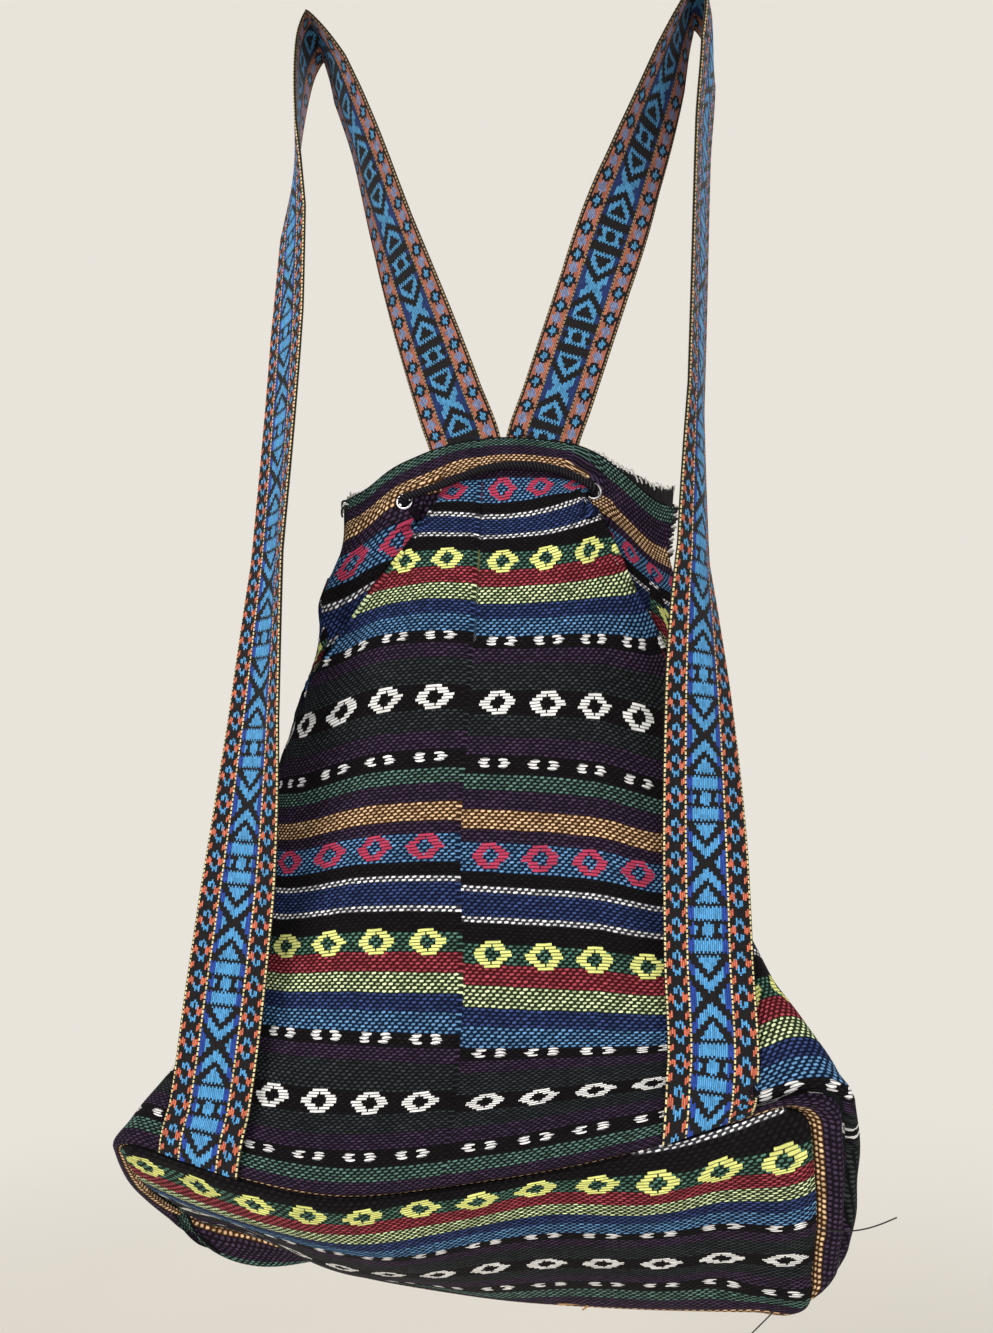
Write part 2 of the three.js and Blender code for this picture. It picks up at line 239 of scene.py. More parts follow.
def rim_knots():
    """Points of the rim, evenly spaced in u. FOLD and DROP are for the knots from the back to the front."""
    points = []
    for k in range(RIM_KNOTS):
        half = min(k, RIM_KNOTS - k)
        hand = 1 if k <= RIM_KNOTS / 2 else -1
        ear = LEFT_EAR if half == 2 and hand < 0 else 1
        share = max(0, (half - 1) / (RIM_KNOTS / 2 - 1))
        turn = math.radians(RIM_START + RIM_SWEEP * share ** RIM_EASE)
        x = (MOUTH_HALF + FOLD[half]) * math.cos(turn)
        y = RIM_MIDDLE + MOUTH_DEEP * math.sin(turn) + FOLD[half] * max(0, math.sin(turn))
        if half < 2:
            x = half * RING / RIM_KNOTS
            y = BACK_Y + RIM_STEP * half
        points.append((MOUTH_SHIFT + hand * x, y, -HANG - DROP[half] * ear))
    return np.array(points)


RIM = rim_knots()


def hermite(b, c, start, end, w):
    """A cubic from b to c that leaves and arrives along start and end."""
    cubic = 2 * (b - c) + start + end
    return b + w * (start + w * (3 * (c - b) - 2 * start - end + w * cubic))


def rim(where):
    """The rim as a closed curve through its knots."""
    t = np.asarray(where, float) * len(RIM)
    k = np.floor(t).astype(int)
    a, b, c, d = (RIM[(k + step) % len(RIM)] for step in (-1, 0, 1, 2))
    return hermite(b, c, (c - a) / 2, (d - b) / 2, (t - k)[..., None])


def drape(u, v):
    """Outside of the bag's cloth, before the eyelets and the pleats."""
    u, v = np.broadcast_arrays(np.asarray(u, float), np.asarray(v, float))
    t = v / BAG_HEIGHT
    low = 1 - t
    where = (u / RING) % 1
    p, q = outline(where)
    foot = base_point(p, q)
    top = rim(where)
    pinch = 1 - PINCH * bump(v - HOLE_V, PINCH_REACH)
    x = lerp(MOUTH_SHIFT + (top[..., 0] - MOUTH_SHIFT) * pinch, foot[..., 0], low ** FLARE_ACROSS)
    y = lerp(BACK_Y + (top[..., 1] - BACK_Y) * pinch, foot[..., 1], low ** FLARE_DEEP)
    z = lerp(foot[..., 2], top[..., 2], t)

    def swell(peak):
        return (t / peak) * np.exp(1 - t / peak)

    end = p / (BASE_WIDTH / 2)
    right = swell(LOW_BULGE) + 0.25 * swell(HIGH_BULGE)
    left = 0.3 * swell(LOW_BULGE)
    x = x + BELLY * end ** 3 * np.where(end > 0, right, left)
    x = x + np.where(end < 0, WAIST * end * bump(t - WAIST_AT, WAIST_REACH), 0)
    y = y + 0.6 * BELLY * (q / BASE_DEPTH) * swell(FRONT_BULGE)
    around = np.where(where > 0.5, where - 1, where) * RING
    slack = bump(around, SLACK_SPREAD) * fading(v, SLACK_REACH) * np.sin(v / SLACK_WAVE)
    y = y - SLACK_DEPTH * slack
    return np.stack([x, y, z], -1)


class Flat:
    """The small flat of cloth that an eyelet is clamped on."""

    def __init__(self, number):
        self.u = (number + 0.5) * RING / EYELETS
        self.at = drape(self.u, HOLE_V)
        step = 5
        self.across = unit(drape(self.u + step, HOLE_V) - drape(self.u - step, HOLE_V))
        up = drape(self.u, HOLE_V + step) - drape(self.u, HOLE_V - step)
        self.up = unit(up - self.across * (up @ self.across))
        self.out = np.cross(self.across, self.up)

    def through(self, lift):
        return self.at + self.out * lift


flats = [Flat(number) for number in range(EYELETS)]


def near_flat(u, v, flat):
    """Offset round the bag from an eyelet, and how firmly the eyelet holds the cloth there."""
    du = signed(u - flat.u)
    return du, 1 - smooth(np.hypot(du, v - HOLE_V), FLAT_HELD, FLAT_FREE)


def shell(u, v):
    """Outside of the bag's cloth, flat at each eyelet."""
    u, v = np.broadcast_arrays(np.asarray(u, float), np.asarray(v, float))
    points = drape(u, v)
    for flat in flats:
        du, hold = near_flat(u, v, flat)
        level = flat.at + du[..., None] * flat.across + (v - HOLE_V)[..., None] * flat.up
        points = lerp(points, level, hold[..., None])
    return points


def outward(u, v):
    """The way out of the cloth."""
    step = 1.5
    across = shell(u + step, v) - shell(u - step, v)
    up = shell(u, np.minimum(v + step, BAG_HEIGHT)) - shell(u, np.maximum(v - step, 0))
    return unit(np.cross(across, up))


def lay(u, v, lift):
    """A point over the cloth's outside, or under it where lift is negative."""
    return shell(u, v) + outward(u, v) * np.asarray(lift)[..., None]


class Route:
    """A smooth open curve through points, as the CAD source draws it."""

    def __init__(self, points):
        self.points = np.array(points, float)

    def point(self, t):
        """Point at t, a share of the number of spans."""
        points = self.points
        last = len(points) - 1
        place = np.asarray(t, float) * last
        k = np.clip(np.floor(place).astype(int), 0, last - 1)
        ends = np.vstack([2 * points[0] - points[1], points, 2 * points[-1] - points[-2]])
        a, b, c, d = (ends[k + step] for step in range(4))
        gaps = [np.sqrt(np.linalg.norm(q - p, axis=-1, keepdims=True)) for p, q in ((a, b), (b, c), (c, d))]
        first, middle, third = gaps
        start = (b - a) / first - (c - a) / (first + middle) + (c - b) / middle
        end = (c - b) / middle - (d - b) / (middle + third) + (d - c) / third
        return hermite(b, c, start * middle, end * middle, (place - k)[..., None])

    def tangent(self, t):
        step = 1e-4
        low = np.maximum(np.asarray(t) - step, 0)
        high = np.minimum(np.asarray(t) + step, 1)
        return unit(self.point(high) - self.point(low))

    def even(self, step):
        """Points along the curve, step apart."""
        samples = 6000
        fine = self.point(np.linspace(0, 1, samples))
        along = lengths(fine)
        wanted = np.linspace(0, along[-1], max(2, round(along[-1] / step)) + 1)
        return np.stack([np.interp(wanted, along, fine[:, axis]) for axis in range(3)], -1)


# Meshes.


def grid_faces(rows, columns, start=0):
    """Quads of a grid of points, row after row."""
    j, i = np.mgrid[0:rows - 1, 0:columns - 1]
    a = (start + j * columns + i).ravel()
    return np.stack([a, a + 1, a + columns + 1, a + columns], 1)


def tube_faces(rings, sides, start=0):
    """Quads of a tube whose rings have the same number of points."""
    j, i = np.mgrid[0:rings - 1, 0:sides]
    a = (start + j * sides + i).ravel()
    b = (start + j * sides + (i + 1) % sides).ravel()
    return np.stack([a, b, b + sides, a + sides], 1)


def make_piece(name, points, faces, materials, places=None, choice=None):
    """A smooth mesh object. places is a UV in mm per point or per corner; choice is a material per face."""
    mesh = bpy.data.meshes.new(name)
    mesh.from_pydata((np.asarray(points) * MM).tolist(), [], [list(map(int, face)) for face in faces])
    for material in materials:
        mesh.materials.append(material)
    if places is not None:
        places = np.asarray(places)
        if len(places) == len(points):
            corners = np.empty(len(mesh.loops), int)
            mesh.loops.foreach_get("vertex_index", corners)
            places = places[corners]
        layer = mesh.uv_layers.new(name="cloth")
        layer.data.foreach_set("uv", places.ravel())
    if choice is not None:
        mesh.polygons.foreach_set("material_index", np.asarray(choice, int))
    mesh.polygons.foreach_set("use_smooth", np.ones(len(mesh.polygons), bool))
    mesh.update()
    piece = bpy.data.objects.new(name, mesh)
    bpy.context.scene.collection.objects.link(piece)
    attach(piece, "root")
    return piece


def frames_along(line):
    """Side directions that follow a line of points without twisting."""
    no_axis = [0.3, 0.2, 0.93]
    go = unit(np.gradient(line, axis=0))
    side = np.cross(go[0], no_axis)
    sides = []
    for ahead in go:
        side = side - ahead * (side @ ahead)
        side = side / np.linalg.norm(side)
        sides.append(side)
    sides = np.array(sides)
    return sides, np.cross(go, sides)


def tube(line, radius, sides):
    """Points of a tube round a line. radius may vary by ring and side."""
    one, two = frames_along(line)
    turn = 2 * math.pi * np.arange(sides) / sides
    spread = np.cos(turn)[:, None] * one[:, None] + np.sin(turn)[:, None] * two[:, None]
    rings = line[:, None] + spread * np.broadcast_to(radius, spread.shape[:2])[..., None]
    return rings.reshape(-1, 3)


def capped(rings, sides):
    """Faces of a tube with both ends closed."""
    faces = [list(face) for face in tube_faces(rings, sides)]
    faces.append(list(range(sides))[::-1])
    faces.append(list(range((rings - 1) * sides, rings * sides)))
    return faces


def sheet_faces(rows, count):
    """Quads of two layers of points: the outer layer, the inner one, then the edge between them."""
    size = rows * count
    faces = grid_faces(rows, count)[:, ::-1].tolist() + grid_faces(rows, count, size).tolist()
    border = [(j, 0) for j in range(rows)] + [(rows - 1, i) for i in range(1, count)]
    border += [(j, count - 1) for j in range(rows - 2, -1, -1)] + [(0, i) for i in range(count - 2, 0, -1)]
    for one, two in zip(border, border[1:] + border[:1]):
        a = one[0] * count + one[1]
        b = two[0] * count + two[1]
        faces.append([a, b, b + size, a + size])
    return faces


# Node materials.


def node(tree, kind, output=0, inputs=(), **settings):
    """Makes a shader node, sets or links its inputs, and gives back one of its outputs."""
    made = tree.nodes.new("ShaderNode" + kind)
    for key, value in settings.items():
        setattr(made, key, value)
    for key, value in dict(inputs).items():
        if isinstance(value, Num):
            value = value.socket
        if isinstance(value, bpy.types.NodeSocket):
            tree.links.new(value, made.inputs[key])
        else:
            made.inputs[key].default_value = value
    return made.outputs[output]


class Num:
    """A number that varies over a surface, worked out by nodes."""

    def __init__(self, tree, socket):
        self.tree = tree
        self.socket = socket

    def math(self, operation, *others):
        values = enumerate((self, *others))
        return Num(self.tree, node(self.tree, "Math", inputs=values, operation=operation))

    def __add__(self, other):
        return self.math("ADD", other)

    def __sub__(self, other):
        return self.math("SUBTRACT", other)

    def __rsub__(self, other):
        return self.math("MULTIPLY_ADD", -1.0, other)

    def __mul__(self, other):
        return self.math("MULTIPLY", other)

    def __truediv__(self, other):
        return self.math("DIVIDE", other)

    def __mod__(self, other):
        return self.math("FLOORED_MODULO", other)

    def __abs__(self):
        return self.math("ABSOLUTE")

    def __lt__(self, other):
        return self.math("LESS_THAN", other)

    def __gt__(self, other):
        return self.math("GREATER_THAN", other)

    def __and__(self, other):
        return self.math("MULTIPLY", other)

    def __or__(self, other):
        return self.math("MAXIMUM", other)

    def floor(self):
        return self.math("FLOOR")

    def root(self):
        return self.math("MAXIMUM", 0.0).math("SQRT")

    def ramp(self, low, high):
        """0 at low to 1 at high, smooth and level beyond them."""
        inputs = {"Value": self, "From Min": low, "From Max": high}
        eased = node(self.tree, "MapRange", "Result", inputs, interpolation_type="SMOOTHSTEP")
        return Num(self.tree, eased)


def linear(code):
    """Linear colour from a colour code such as 1a2b3c."""
    shares = [int(code[k:k + 2], 16) / 255 for k in (0, 2, 4)]
    return [s / 12.92 if s <= 0.04045 else ((s + 0.055) / 1.055) ** 2.4 for s in shares] + [1.0]


def new_material(name, roughness, sheen=0.0, metallic=0.0, specular=0.25):
    material = bpy.data.materials.new(name)
    material.use_nodes = True
    shader = material.node_tree.nodes["Principled BSDF"]
    shader.inputs["Roughness"].default_value = roughness
    shader.inputs["Metallic"].default_value = metallic
    shader.inputs["Sheen Weight"].default_value = sheen
    shader.inputs["Specular IOR Level"].default_value = specular
    return material, material.node_tree, shader


def paint(shader, tree, colour):
    tree.links.new(colour, shader.inputs["Base Color"])


def centred(number):
    """From -1 to 1 within each whole step of a number."""
    return (number - number.floor() - 0.5) * 2.0


def places(tree):
    """The two coordinates of the cloth map, in mm."""
    split = tree.nodes.new("ShaderNodeSeparateXYZ")
    tree.links.new(node(tree, "UVMap", uv_map="cloth"), split.inputs[0])
    return Num(tree, split.outputs[0]), Num(tree, split.outputs[1])


def chance(one, two):
    """A random number for each pair of whole numbers."""
    pair = node(one.tree, "CombineXYZ", inputs={0: one, 1: two})
    return Num(one.tree, node(one.tree, "TexWhiteNoise", "Value", {"Vector": pair}, noise_dimensions="2D"))


def own_space(tree):
    """Position in the object's own space."""
    return node(tree, "TexCoord", "Object")


def cloudy(tree, scale, detail=3.0):
    """Smooth noise from 0 to 1 through the object's own space, scale in turns per metre."""
    inputs = {"Vector": own_space(tree), "Scale": scale, "Detail": detail}
    return Num(tree, node(tree, "TexNoise", "Fac", inputs))


def mixed(share, one, two):
    """Colour one turning into colour two as share goes from 0 to 1."""
    return node(share.tree, "Mix", 2, {0: share, 6: one, 7: two}, data_type="RGBA")


def scaled(colour, factor):
    """A colour made lighter or darker by a varying factor."""
    if isinstance(colour, list):
        colour = colour[:3]
    return node(factor.tree, "VectorMath", 0, {0: colour, "Scale": factor}, operation="SCALE")


def raised(shader, height, depth):
    """Bump of the given depth in mm where height is 1."""
    uneven = node(height.tree, "Bump", inputs={"Distance": depth * MM, "Height": height})
    height.tree.links.new(uneven, shader.inputs["Normal"])


# Colours of the weft and of the gaps in it, which are dark warp with the weft there in painted shade.
BLACK = ("181518", "070507")
WHITE = ("f2f2f4", "33343a")
PURPLE = ("43344c", "130a17")
CHARCOAL = ("34393c", "0c0e10")
NAVY = ("394b7e", "0a122b")
BLUE = ("6392be", "0a1c34")
GREEN = ("5f8077", "0e1a16")
LIME = ("dcecb8", "262f1c")
RED = ("ab4855", "440d12")
DARK_GREEN = ("527c6c", "0f1c16")
GOLD = ("e2be96", "42280f")
# Stripes of one repeat, upwards: first weft row and colours.
STRIPES = [
    (0, BLACK), (4, PURPLE), (10, CHARCOAL), (17, BLACK), (25, CHARCOAL), (34, PURPLE), (39, BLACK),
    (43, BLUE), (49, NAVY), (54, LIME), (60, RED), (66, DARK_GREEN), (72, BLACK), (78, WHITE),
    (80, NAVY), (87, WHITE), (89, BLACK), (93, BLUE), (102, PURPLE), (106, GOLD), (112, PURPLE),
    (118, GREEN), (123, BLACK),
]
# Woven-in motifs: middle row and colour of the eyes, and middle rows of the dash pairs.
EYES = [(98, "b83e5c"), (69, "ecf08e"), (21, "efeeec")]
DASH_ROWS = [1, 41]
DASH_WHITE = "eeecec"


def stripe_colours(row, layer):
    """Colour of each row of the repeat: of the thread for layer 0, of the gaps (dark warp and painted shade)
    for layer 1.
    """
    tree = row.tree
    ramp = tree.nodes.new("ShaderNodeValToRGB")
    ramp.color_ramp.interpolation = "CONSTANT"
    stops = ramp.color_ramp.elements
    stops[1].position = STRIPES[1][0] / ROWS
    while len(stops) < len(STRIPES):
        stops.new(STRIPES[len(stops)][0] / ROWS)
    for stop, (first, codes) in zip(stops, STRIPES):
        stop.position = first / ROWS
        stop.color = linear(codes[layer])
    tree.links.new(((row + 0.5) / ROWS).socket, ramp.inputs[0])
    return ramp.outputs[0]


# An eye: half its width, half that of its hole, how much both narrow towards its end, and half its rows.
EYE_HALF = 9.5
EYE_HOLE = 4.5
EYE_TAPER = 6.6
EYE_ROWS = 4.0
# A dash of a pair: its distance from their middle, its lean by row, half its length and its slimness.
DASH_OFF = 5.6
DASH_LEAN = 1.1
DASH_HALF = 2.4
DASH_SLIM = 1.9


def eye(across, rows, middle):
    """A pointed ring of eight weft floats, with a small open middle."""
    step = abs(rows - float(middle)) / EYE_ROWS
    inside = abs(across) < EYE_HALF - step * EYE_TAPER
    hole = abs(across) > EYE_HOLE - step * EYE_TAPER
    return inside & hole & (step < 1.0)


def dash_pair(across, rows, middle):
    """Two short marks of three floats whose middle floats stick out sideways."""
    row = rows.floor()
    step = abs(row - middle)
    high = (rows - row - 0.5) * DASH_SLIM
    off = (abs(across) - (DASH_OFF - step * DASH_LEAN)) / DASH_HALF
    return ((off * off + high * high) < 1.0) & (step < 1.5)


def weft(tree, across, rows):
    """Bright weft dashes in brick order over dark gaps: their colour, painted lighter on each dash's top,
    and their height.
    """
    row = rows.floor()
    in_row = centred(rows)
    wander = cloudy(tree, 210.0) * 0.4
    dashes = across / DASH + (row % 2.0) * 0.5 + wander
    dash = dashes.floor()
    in_dash = centred(dashes)
    luck = chance(dash, row)
    slant = (in_row - in_dash * 0.32) * 1.2
    long = in_dash * 1.4
    square = long * long
    edge = (square * square + slant * slant) * (1.5 - luck * 0.5)
    lump = (1.0 - edge).root()
    cover = 1.0 - edge.ramp(0.35, 1.15)
    tone = luck * 0.5 + chance(row, dash) * 0.35 + 0.6
    place = row % float(ROWS)
    # Each dash is painted lighter at its raised top and darker at its edges (painted highlight and shade),
    # with tone that differs at random, over gaps in painted shade.
    shaded_yarn = scaled(stripe_colours(place, 0), tone * (lump * 0.65 + 0.4))
    return mixed(cover, stripe_colours(place, 1), shaded_yarn), lump


def inlay(across, rows, colour):
    """Motifs laid over the weave: the colour with them, painted darker at the edges of their floats, and the
    height of their floats.
    """
    cell = (across / PITCH + 0.5).floor()
    off = across - cell * PITCH
    floats = rows - off * 0.05
    line = floats.floor() + 0.5
    ragged = chance(line, cell) * 1.5 - 0.75
    off = off + ragged
    in_float = (floats - line) * 2.0
    thread = 1.0 - (in_float * in_float).ramp(0.25, 1.0)
    bright = chance(line, (across / 4.0).floor()) * 0.35 + 0.85
    # Each float is painted darker towards its edges, as shade between the floats; bright is a random tone.
    light = thread * bright * 0.9 + 0.1
    motifs = [(eye(off, line % float(ROWS), middle), code) for middle, code in EYES]
    motifs += [(dash_pair(off, rows % float(ROWS), middle), DASH_WHITE) for middle in DASH_ROWS]
    figures = motifs[0][0]
    for figure, code in motifs:
        colour = mixed(figure, colour, scaled(linear(code), light))
        figures = figures | figure
    return colour, figures * (thread * 0.7 + 0.6)


def weave_material():
    """Coarse plain weave in stripes, with inlaid motifs."""
    material, tree, shader = new_material("weave", 0.9, specular=0.12)
    across, height = places(tree)
    sway = cloudy(tree, 120.0) * 0.7 - 0.35
    rows = height / ROW + sway
    colour, lump = weft(tree, across, rows)
    colour, raise_by = inlay(across, rows, colour)
    uneven = cloudy(tree, 45.0) * 0.5 + 0.75
    paint(shader, tree, scaled(colour, uneven))
    fuzz = cloudy(tree, 1400.0) * 0.3
    raised(shader, (lump | raise_by) + fuzz, 0.55)
    return material


# Distances from the band's middle: edge of its blue core, edge of the lighter part, middle of a side stripe.
CORE_HALF = 9.1
LIGHT_HALF = 6.4
SIDE_MIDDLE = 14.2
# Thin lines beside the core and at the selvage.
LINES_AT = (9.5, 19.0)
LINE_HALF = 0.5


def band_figures(x, s):
    """Masks of the band's pattern: blue, coral and gold, and the side band's own coordinates."""
    thread = (x / BAND_THREAD).floor()
    wide = abs(thread * BAND_THREAD + BAND_THREAD / 2)
    s = s + (thread % 2.0) * 0.9 + chance(thread, (s / 5.0).floor()) * 0.5 - 0.7
    rise = BAND_REPEAT / 2 - abs((s % BAND_REPEAT) - BAND_REPEAT / 2)
    chevron = (rise > wide * 1.03 + 1.9) & (rise < wide + 6.8)
    flank = rise < (wide - 3.5) * 1.3
    small = (wide < (rise - 10.0) * 0.75) & (rise < 17.4)
    bar = (rise > 19.2) & (rise < 24.8)
    left = BAND_REPEAT / 2 - rise
    middle_dot = ((wide < 2.3) & (left < 3.1)) & ((wide + left) < 4.2)
    side_dot = (abs(wide - 6.6) * 1.2 + left) < 2.9
    core = wide < CORE_HALF
    blue = (chevron | flank | small | bar | middle_dot | side_dot) & core

    off = abs(wide - SIDE_MIDDLE)
    k = BAND_MOTIF / 2 - abs((s % BAND_MOTIF) - BAND_MOTIF / 2)
    marks = (abs(off - (2.1 - k * 0.33)) < 0.75) & (k > 1.4) & (k < 4.8)
    blob = (off > 1.7) & (off < 4.3) & (k < 2.5 - off * 0.3)
    dots = (off > 2.8) & (off < 4.4) & (k > BAND_MOTIF / 2 - 1.4)
    inner, outer = (abs(wide - at) < LINE_HALF for at in LINES_AT)
    lines = inner | outer
    gold = lines & ((s % 2.2) < 1.4)
    return {"wide": wide, "off": off, "k": k, "core": core, "blue": blue, "marks": marks,
            "flank": flank & core, "coral": blob | dots, "lines": lines, "gold": gold}


LIGHT_BLUE = "5cabe6"
ROYAL = "2f4fae"
DEEP_BLUE = "24376e"
CORAL = "e2765a"
REVERSE_CORAL = "bd735c"
PALE_BLUE = "8492b8"
BAND_GOLD = "f2e0a4"
# The face's light blue, painted darker for the reverse as shade.
SHADED_REVERSE_BLUE = "56a0d2"
REVERSE_GOLD = "a58a62"
BAND_BLACK = "161316"


def band_face(part):
    """Colours of the band's face and where its floats lie."""
    blues = mixed(part["wide"] > LIGHT_HALF, linear(LIGHT_BLUE), linear(ROYAL))
    side = part["off"] < 4.6
    colour = mixed(part["blue"], linear(BAND_BLACK), blues)
    colour = mixed(part["marks"] & side, colour, linear(LIGHT_BLUE))
    colour = mixed(part["coral"] & side, colour, linear(CORAL))
    return colour, part["blue"] | ((part["marks"] | part["coral"]) & side)


def band_reverse(part):
    """The same for the reverse: blue where the face is black, and ringed spots on coral at the sides; its
    light blue is painted darker as shade.
    """
    blues = mixed(part["wide"] > LIGHT_HALF, linear(SHADED_REVERSE_BLUE), linear(DEEP_BLUE))
    side = part["off"] < 4.1
    blank = part["core"] & (1.0 - part["blue"])
    colour = mixed(blank, linear(BAND_BLACK), blues)
    colour = mixed(part["flank"], colour, linear(DEEP_BLUE))
    colour = mixed(side, colour, linear(REVERSE_CORAL))
    ring = part["off"] * 1.1 + part["k"] * 0.85
    between = part["off"] + (BAND_MOTIF / 2 - part["k"]) * 0.75
    colour = mixed((ring < 4.8) & side, colour, linear(BAND_BLACK))
    colour = mixed((ring < 2.3) & side, colour, linear(SHADED_REVERSE_BLUE))
    colour = mixed((between < 2.9) & side, colour, linear(PALE_BLUE))
    return colour, blank | side


def band_material(name, reverse):
    """Patterned band with lengthwise threads, painted lighter on their tops and darker between them."""
    material, tree, shader = new_material(name, 0.85, sheen=0.04)
    x, s = places(tree)
    part = band_figures(x, s)
    colour, floats = band_reverse(part) if reverse else band_face(part)
    colour = mixed(part["lines"], colour, linear(BAND_BLACK))
    colour = mixed(part["gold"], colour, linear(REVERSE_GOLD if reverse else BAND_GOLD))
    thread = (x / BAND_THREAD).floor()
    in_thread = centred(x / BAND_THREAD)
    picks = s / 1.3 + (thread % 2.0) * 0.5
    in_pick = centred(picks)
    lump = (1.0 - in_thread * in_thread * 0.85 - in_pick * in_pick * 0.25).root()
    # shade is a random tone for each thread; the lump factor paints a highlight on each thread's top and
    # shade between threads.
    shade = chance(thread, (s / 2.6).floor()) * 0.45 + 0.72
    colour = scaled(colour, shade * (lump * 0.85 + 0.22))
    paint(shader, tree, colour)
    fuzz = cloudy(tree, 1500.0) * 0.3
    raised(shader, lump * (floats * 0.5 + 0.8) + fuzz, 0.4)
    return material


def cord_material():
    """Black twisted cord with a painted highlight on its strands and painted shade between them, in uneven
    patches.
    """
    material, tree, shader = new_material("cord", 0.9, specular=0.1)
    bulge, _ = places(tree)
    uneven_patches = cloudy(tree, 900.0) * 0.5 + 0.5
    # Painted highlight on the tops of the strands and painted shade in the grooves, broken up by noise.
    strand_highlight = (bulge * bulge) & uneven_patches
    paint(shader, tree, mixed(strand_highlight, linear("040304"), linear("37343a")))
    raised(shader, cloudy(tree, 2600.0, 4.0), 0.25)
    return material


def nickel_material():
    """Bright plate, slightly dulled and scratched."""
    material, tree, shader = new_material("nickel", 0.3, metallic=1.0)
    dull = cloudy(tree, 400.0)
    paint(shader, tree, mixed(dull, linear("b9babd"), linear("e2e2e4")))
    tree.links.new((dull * 0.25 + 0.2).socket, shader.inputs["Roughness"])
    raised(shader, cloudy(tree, 1800.0), 0.04)
    return material


def thread_material(name, dark, light):
    """Spun sewing thread."""
    material, tree, shader = new_material(name, 0.85, sheen=0.1)
    paint(shader, tree, mixed(cloudy(tree, 1200.0), linear(dark), linear(light)))
    raised(shader, cloudy(tree, 4000.0), 0.1)
    return material


# Camera.


def camera():
    """The photo's camera, found from the straight lines of the door behind the bag."""
    yaw = math.radians(5.5)
    pitch = math.radians(6.5)
    roll = math.radians(1.15)
    ahead = Vector((-math.sin(yaw) * math.cos(pitch), math.cos(yaw) * math.cos(pitch), math.sin(pitch)))
    level = Vector((math.cos(yaw), math.sin(yaw), 0))
    above = level.cross(ahead)
    right = level * math.cos(roll) - above * math.sin(roll)
    up = level * math.sin(roll) + above * math.cos(roll)
    data = bpy.data.cameras.new("camera")
    data.lens = 27.0
    data.sensor_width = 36.0
    data.clip_end = 50
    eye_point = Vector((39.6, -519.0, -423.0)) * MM
    holder = bpy.data.objects.new("camera", data)
    turn = Matrix((right, up, -ahead)).transposed().to_4x4()
    holder.matrix_world = Matrix.Translation(eye_point) @ turn
    bpy.context.scene.collection.objects.link(holder)
    bpy.context.scene.camera = holder


# Cords: length of one turn, strands, and share of the radius that is core and that a strand adds.
LAY = 5.4
STRANDS = 3
CORD_CORE = 0.74
STRAND_BULGE = 0.3
# Height of the cord's middle over the cloth outside an eyelet, and under it inside.
CORD_OUT = CORD / 2 + 2.2
CORD_IN = -HEM_CLOTH - CORD / 2 - 2.4
# Order in which the cord passes through the eyelets, and how it hangs across the back.
THREADED = [3, 2, 1, 0, 7, 6, 5, 4]
ARCH_V = BAG_HEIGHT - 15
ARCH_REACH = 0.62 * RING / EYELETS
ARCH_SLACK = 12
ARCH_TILT = 5
# Spacing of the points down a free end.
TAIL_STEP = 12


def twisted(line):
    """Points and sides of a cord with bulging strands, and for each point 1 on a strand, 0 between."""
    sides = 15
    angle = 2 * math.pi * np.arange(sides) / sides
    phase = angle[None, :] - 2 * math.pi * lengths(line)[:, None] / LAY
    bulge = np.abs(np.cos(phase * STRANDS / 2))
    radius = CORD / 2 * (CORD_CORE + STRAND_BULGE * bulge)
    return tube(line, radius, sides), sides, np.stack([bulge.ravel(), 0 * bulge.ravel()], -1)


def drawcord_route():
    """In and out of the eyelets, and slack across the back between the two eyelets there."""
    clear = CORD / 2 + 1
    points = []
    for step, number in enumerate(THREADED):
        lifts = [CORD_OUT, -HEM_CLOTH / 2, CORD_IN]
        for lift in lifts if step % 2 == 0 else lifts[::-1]:
            points.append(flats[number].through(lift))
        if number == 0:
            arch = lay(0.0, ARCH_V, clear)
            for s in (-0.5, 0, 0.5):
                slack = ARCH_SLACK * s * s + ARCH_TILT * smooth(s, -0.5, 0.5)
                hung = shell(-s * ARCH_REACH, ARCH_V - slack)
                hung[1] = min(arch[1], hung[1] - clear)
                points.append(hung)
    return Route(points)


def tail_route(flat):
    """A free end: out of its eyelet, over a bend and down the cloth."""
    bend = 2 * CORD
    points = []
    for degrees in (0, 10, 35, 60, 90):
        turn = math.radians(degrees)
        lift = CORD_OUT + SEAT + bend * math.sin(turn)
        points.append(flat.through(lift) + flat.up * bend * (math.cos(turn) - 1))
    proud = CORD_OUT + SEAT + bend
    resting = CORD / 2 + 2.5
    down = bend + TAIL_STEP
    while down <= TAIL:
        lift = lerp(proud, resting, smooth(down, bend, TAIL / 2))
        points.append(lay(flat.u, HOLE_V - down, lift))
        down += TAIL_STEP
    return Route(points)


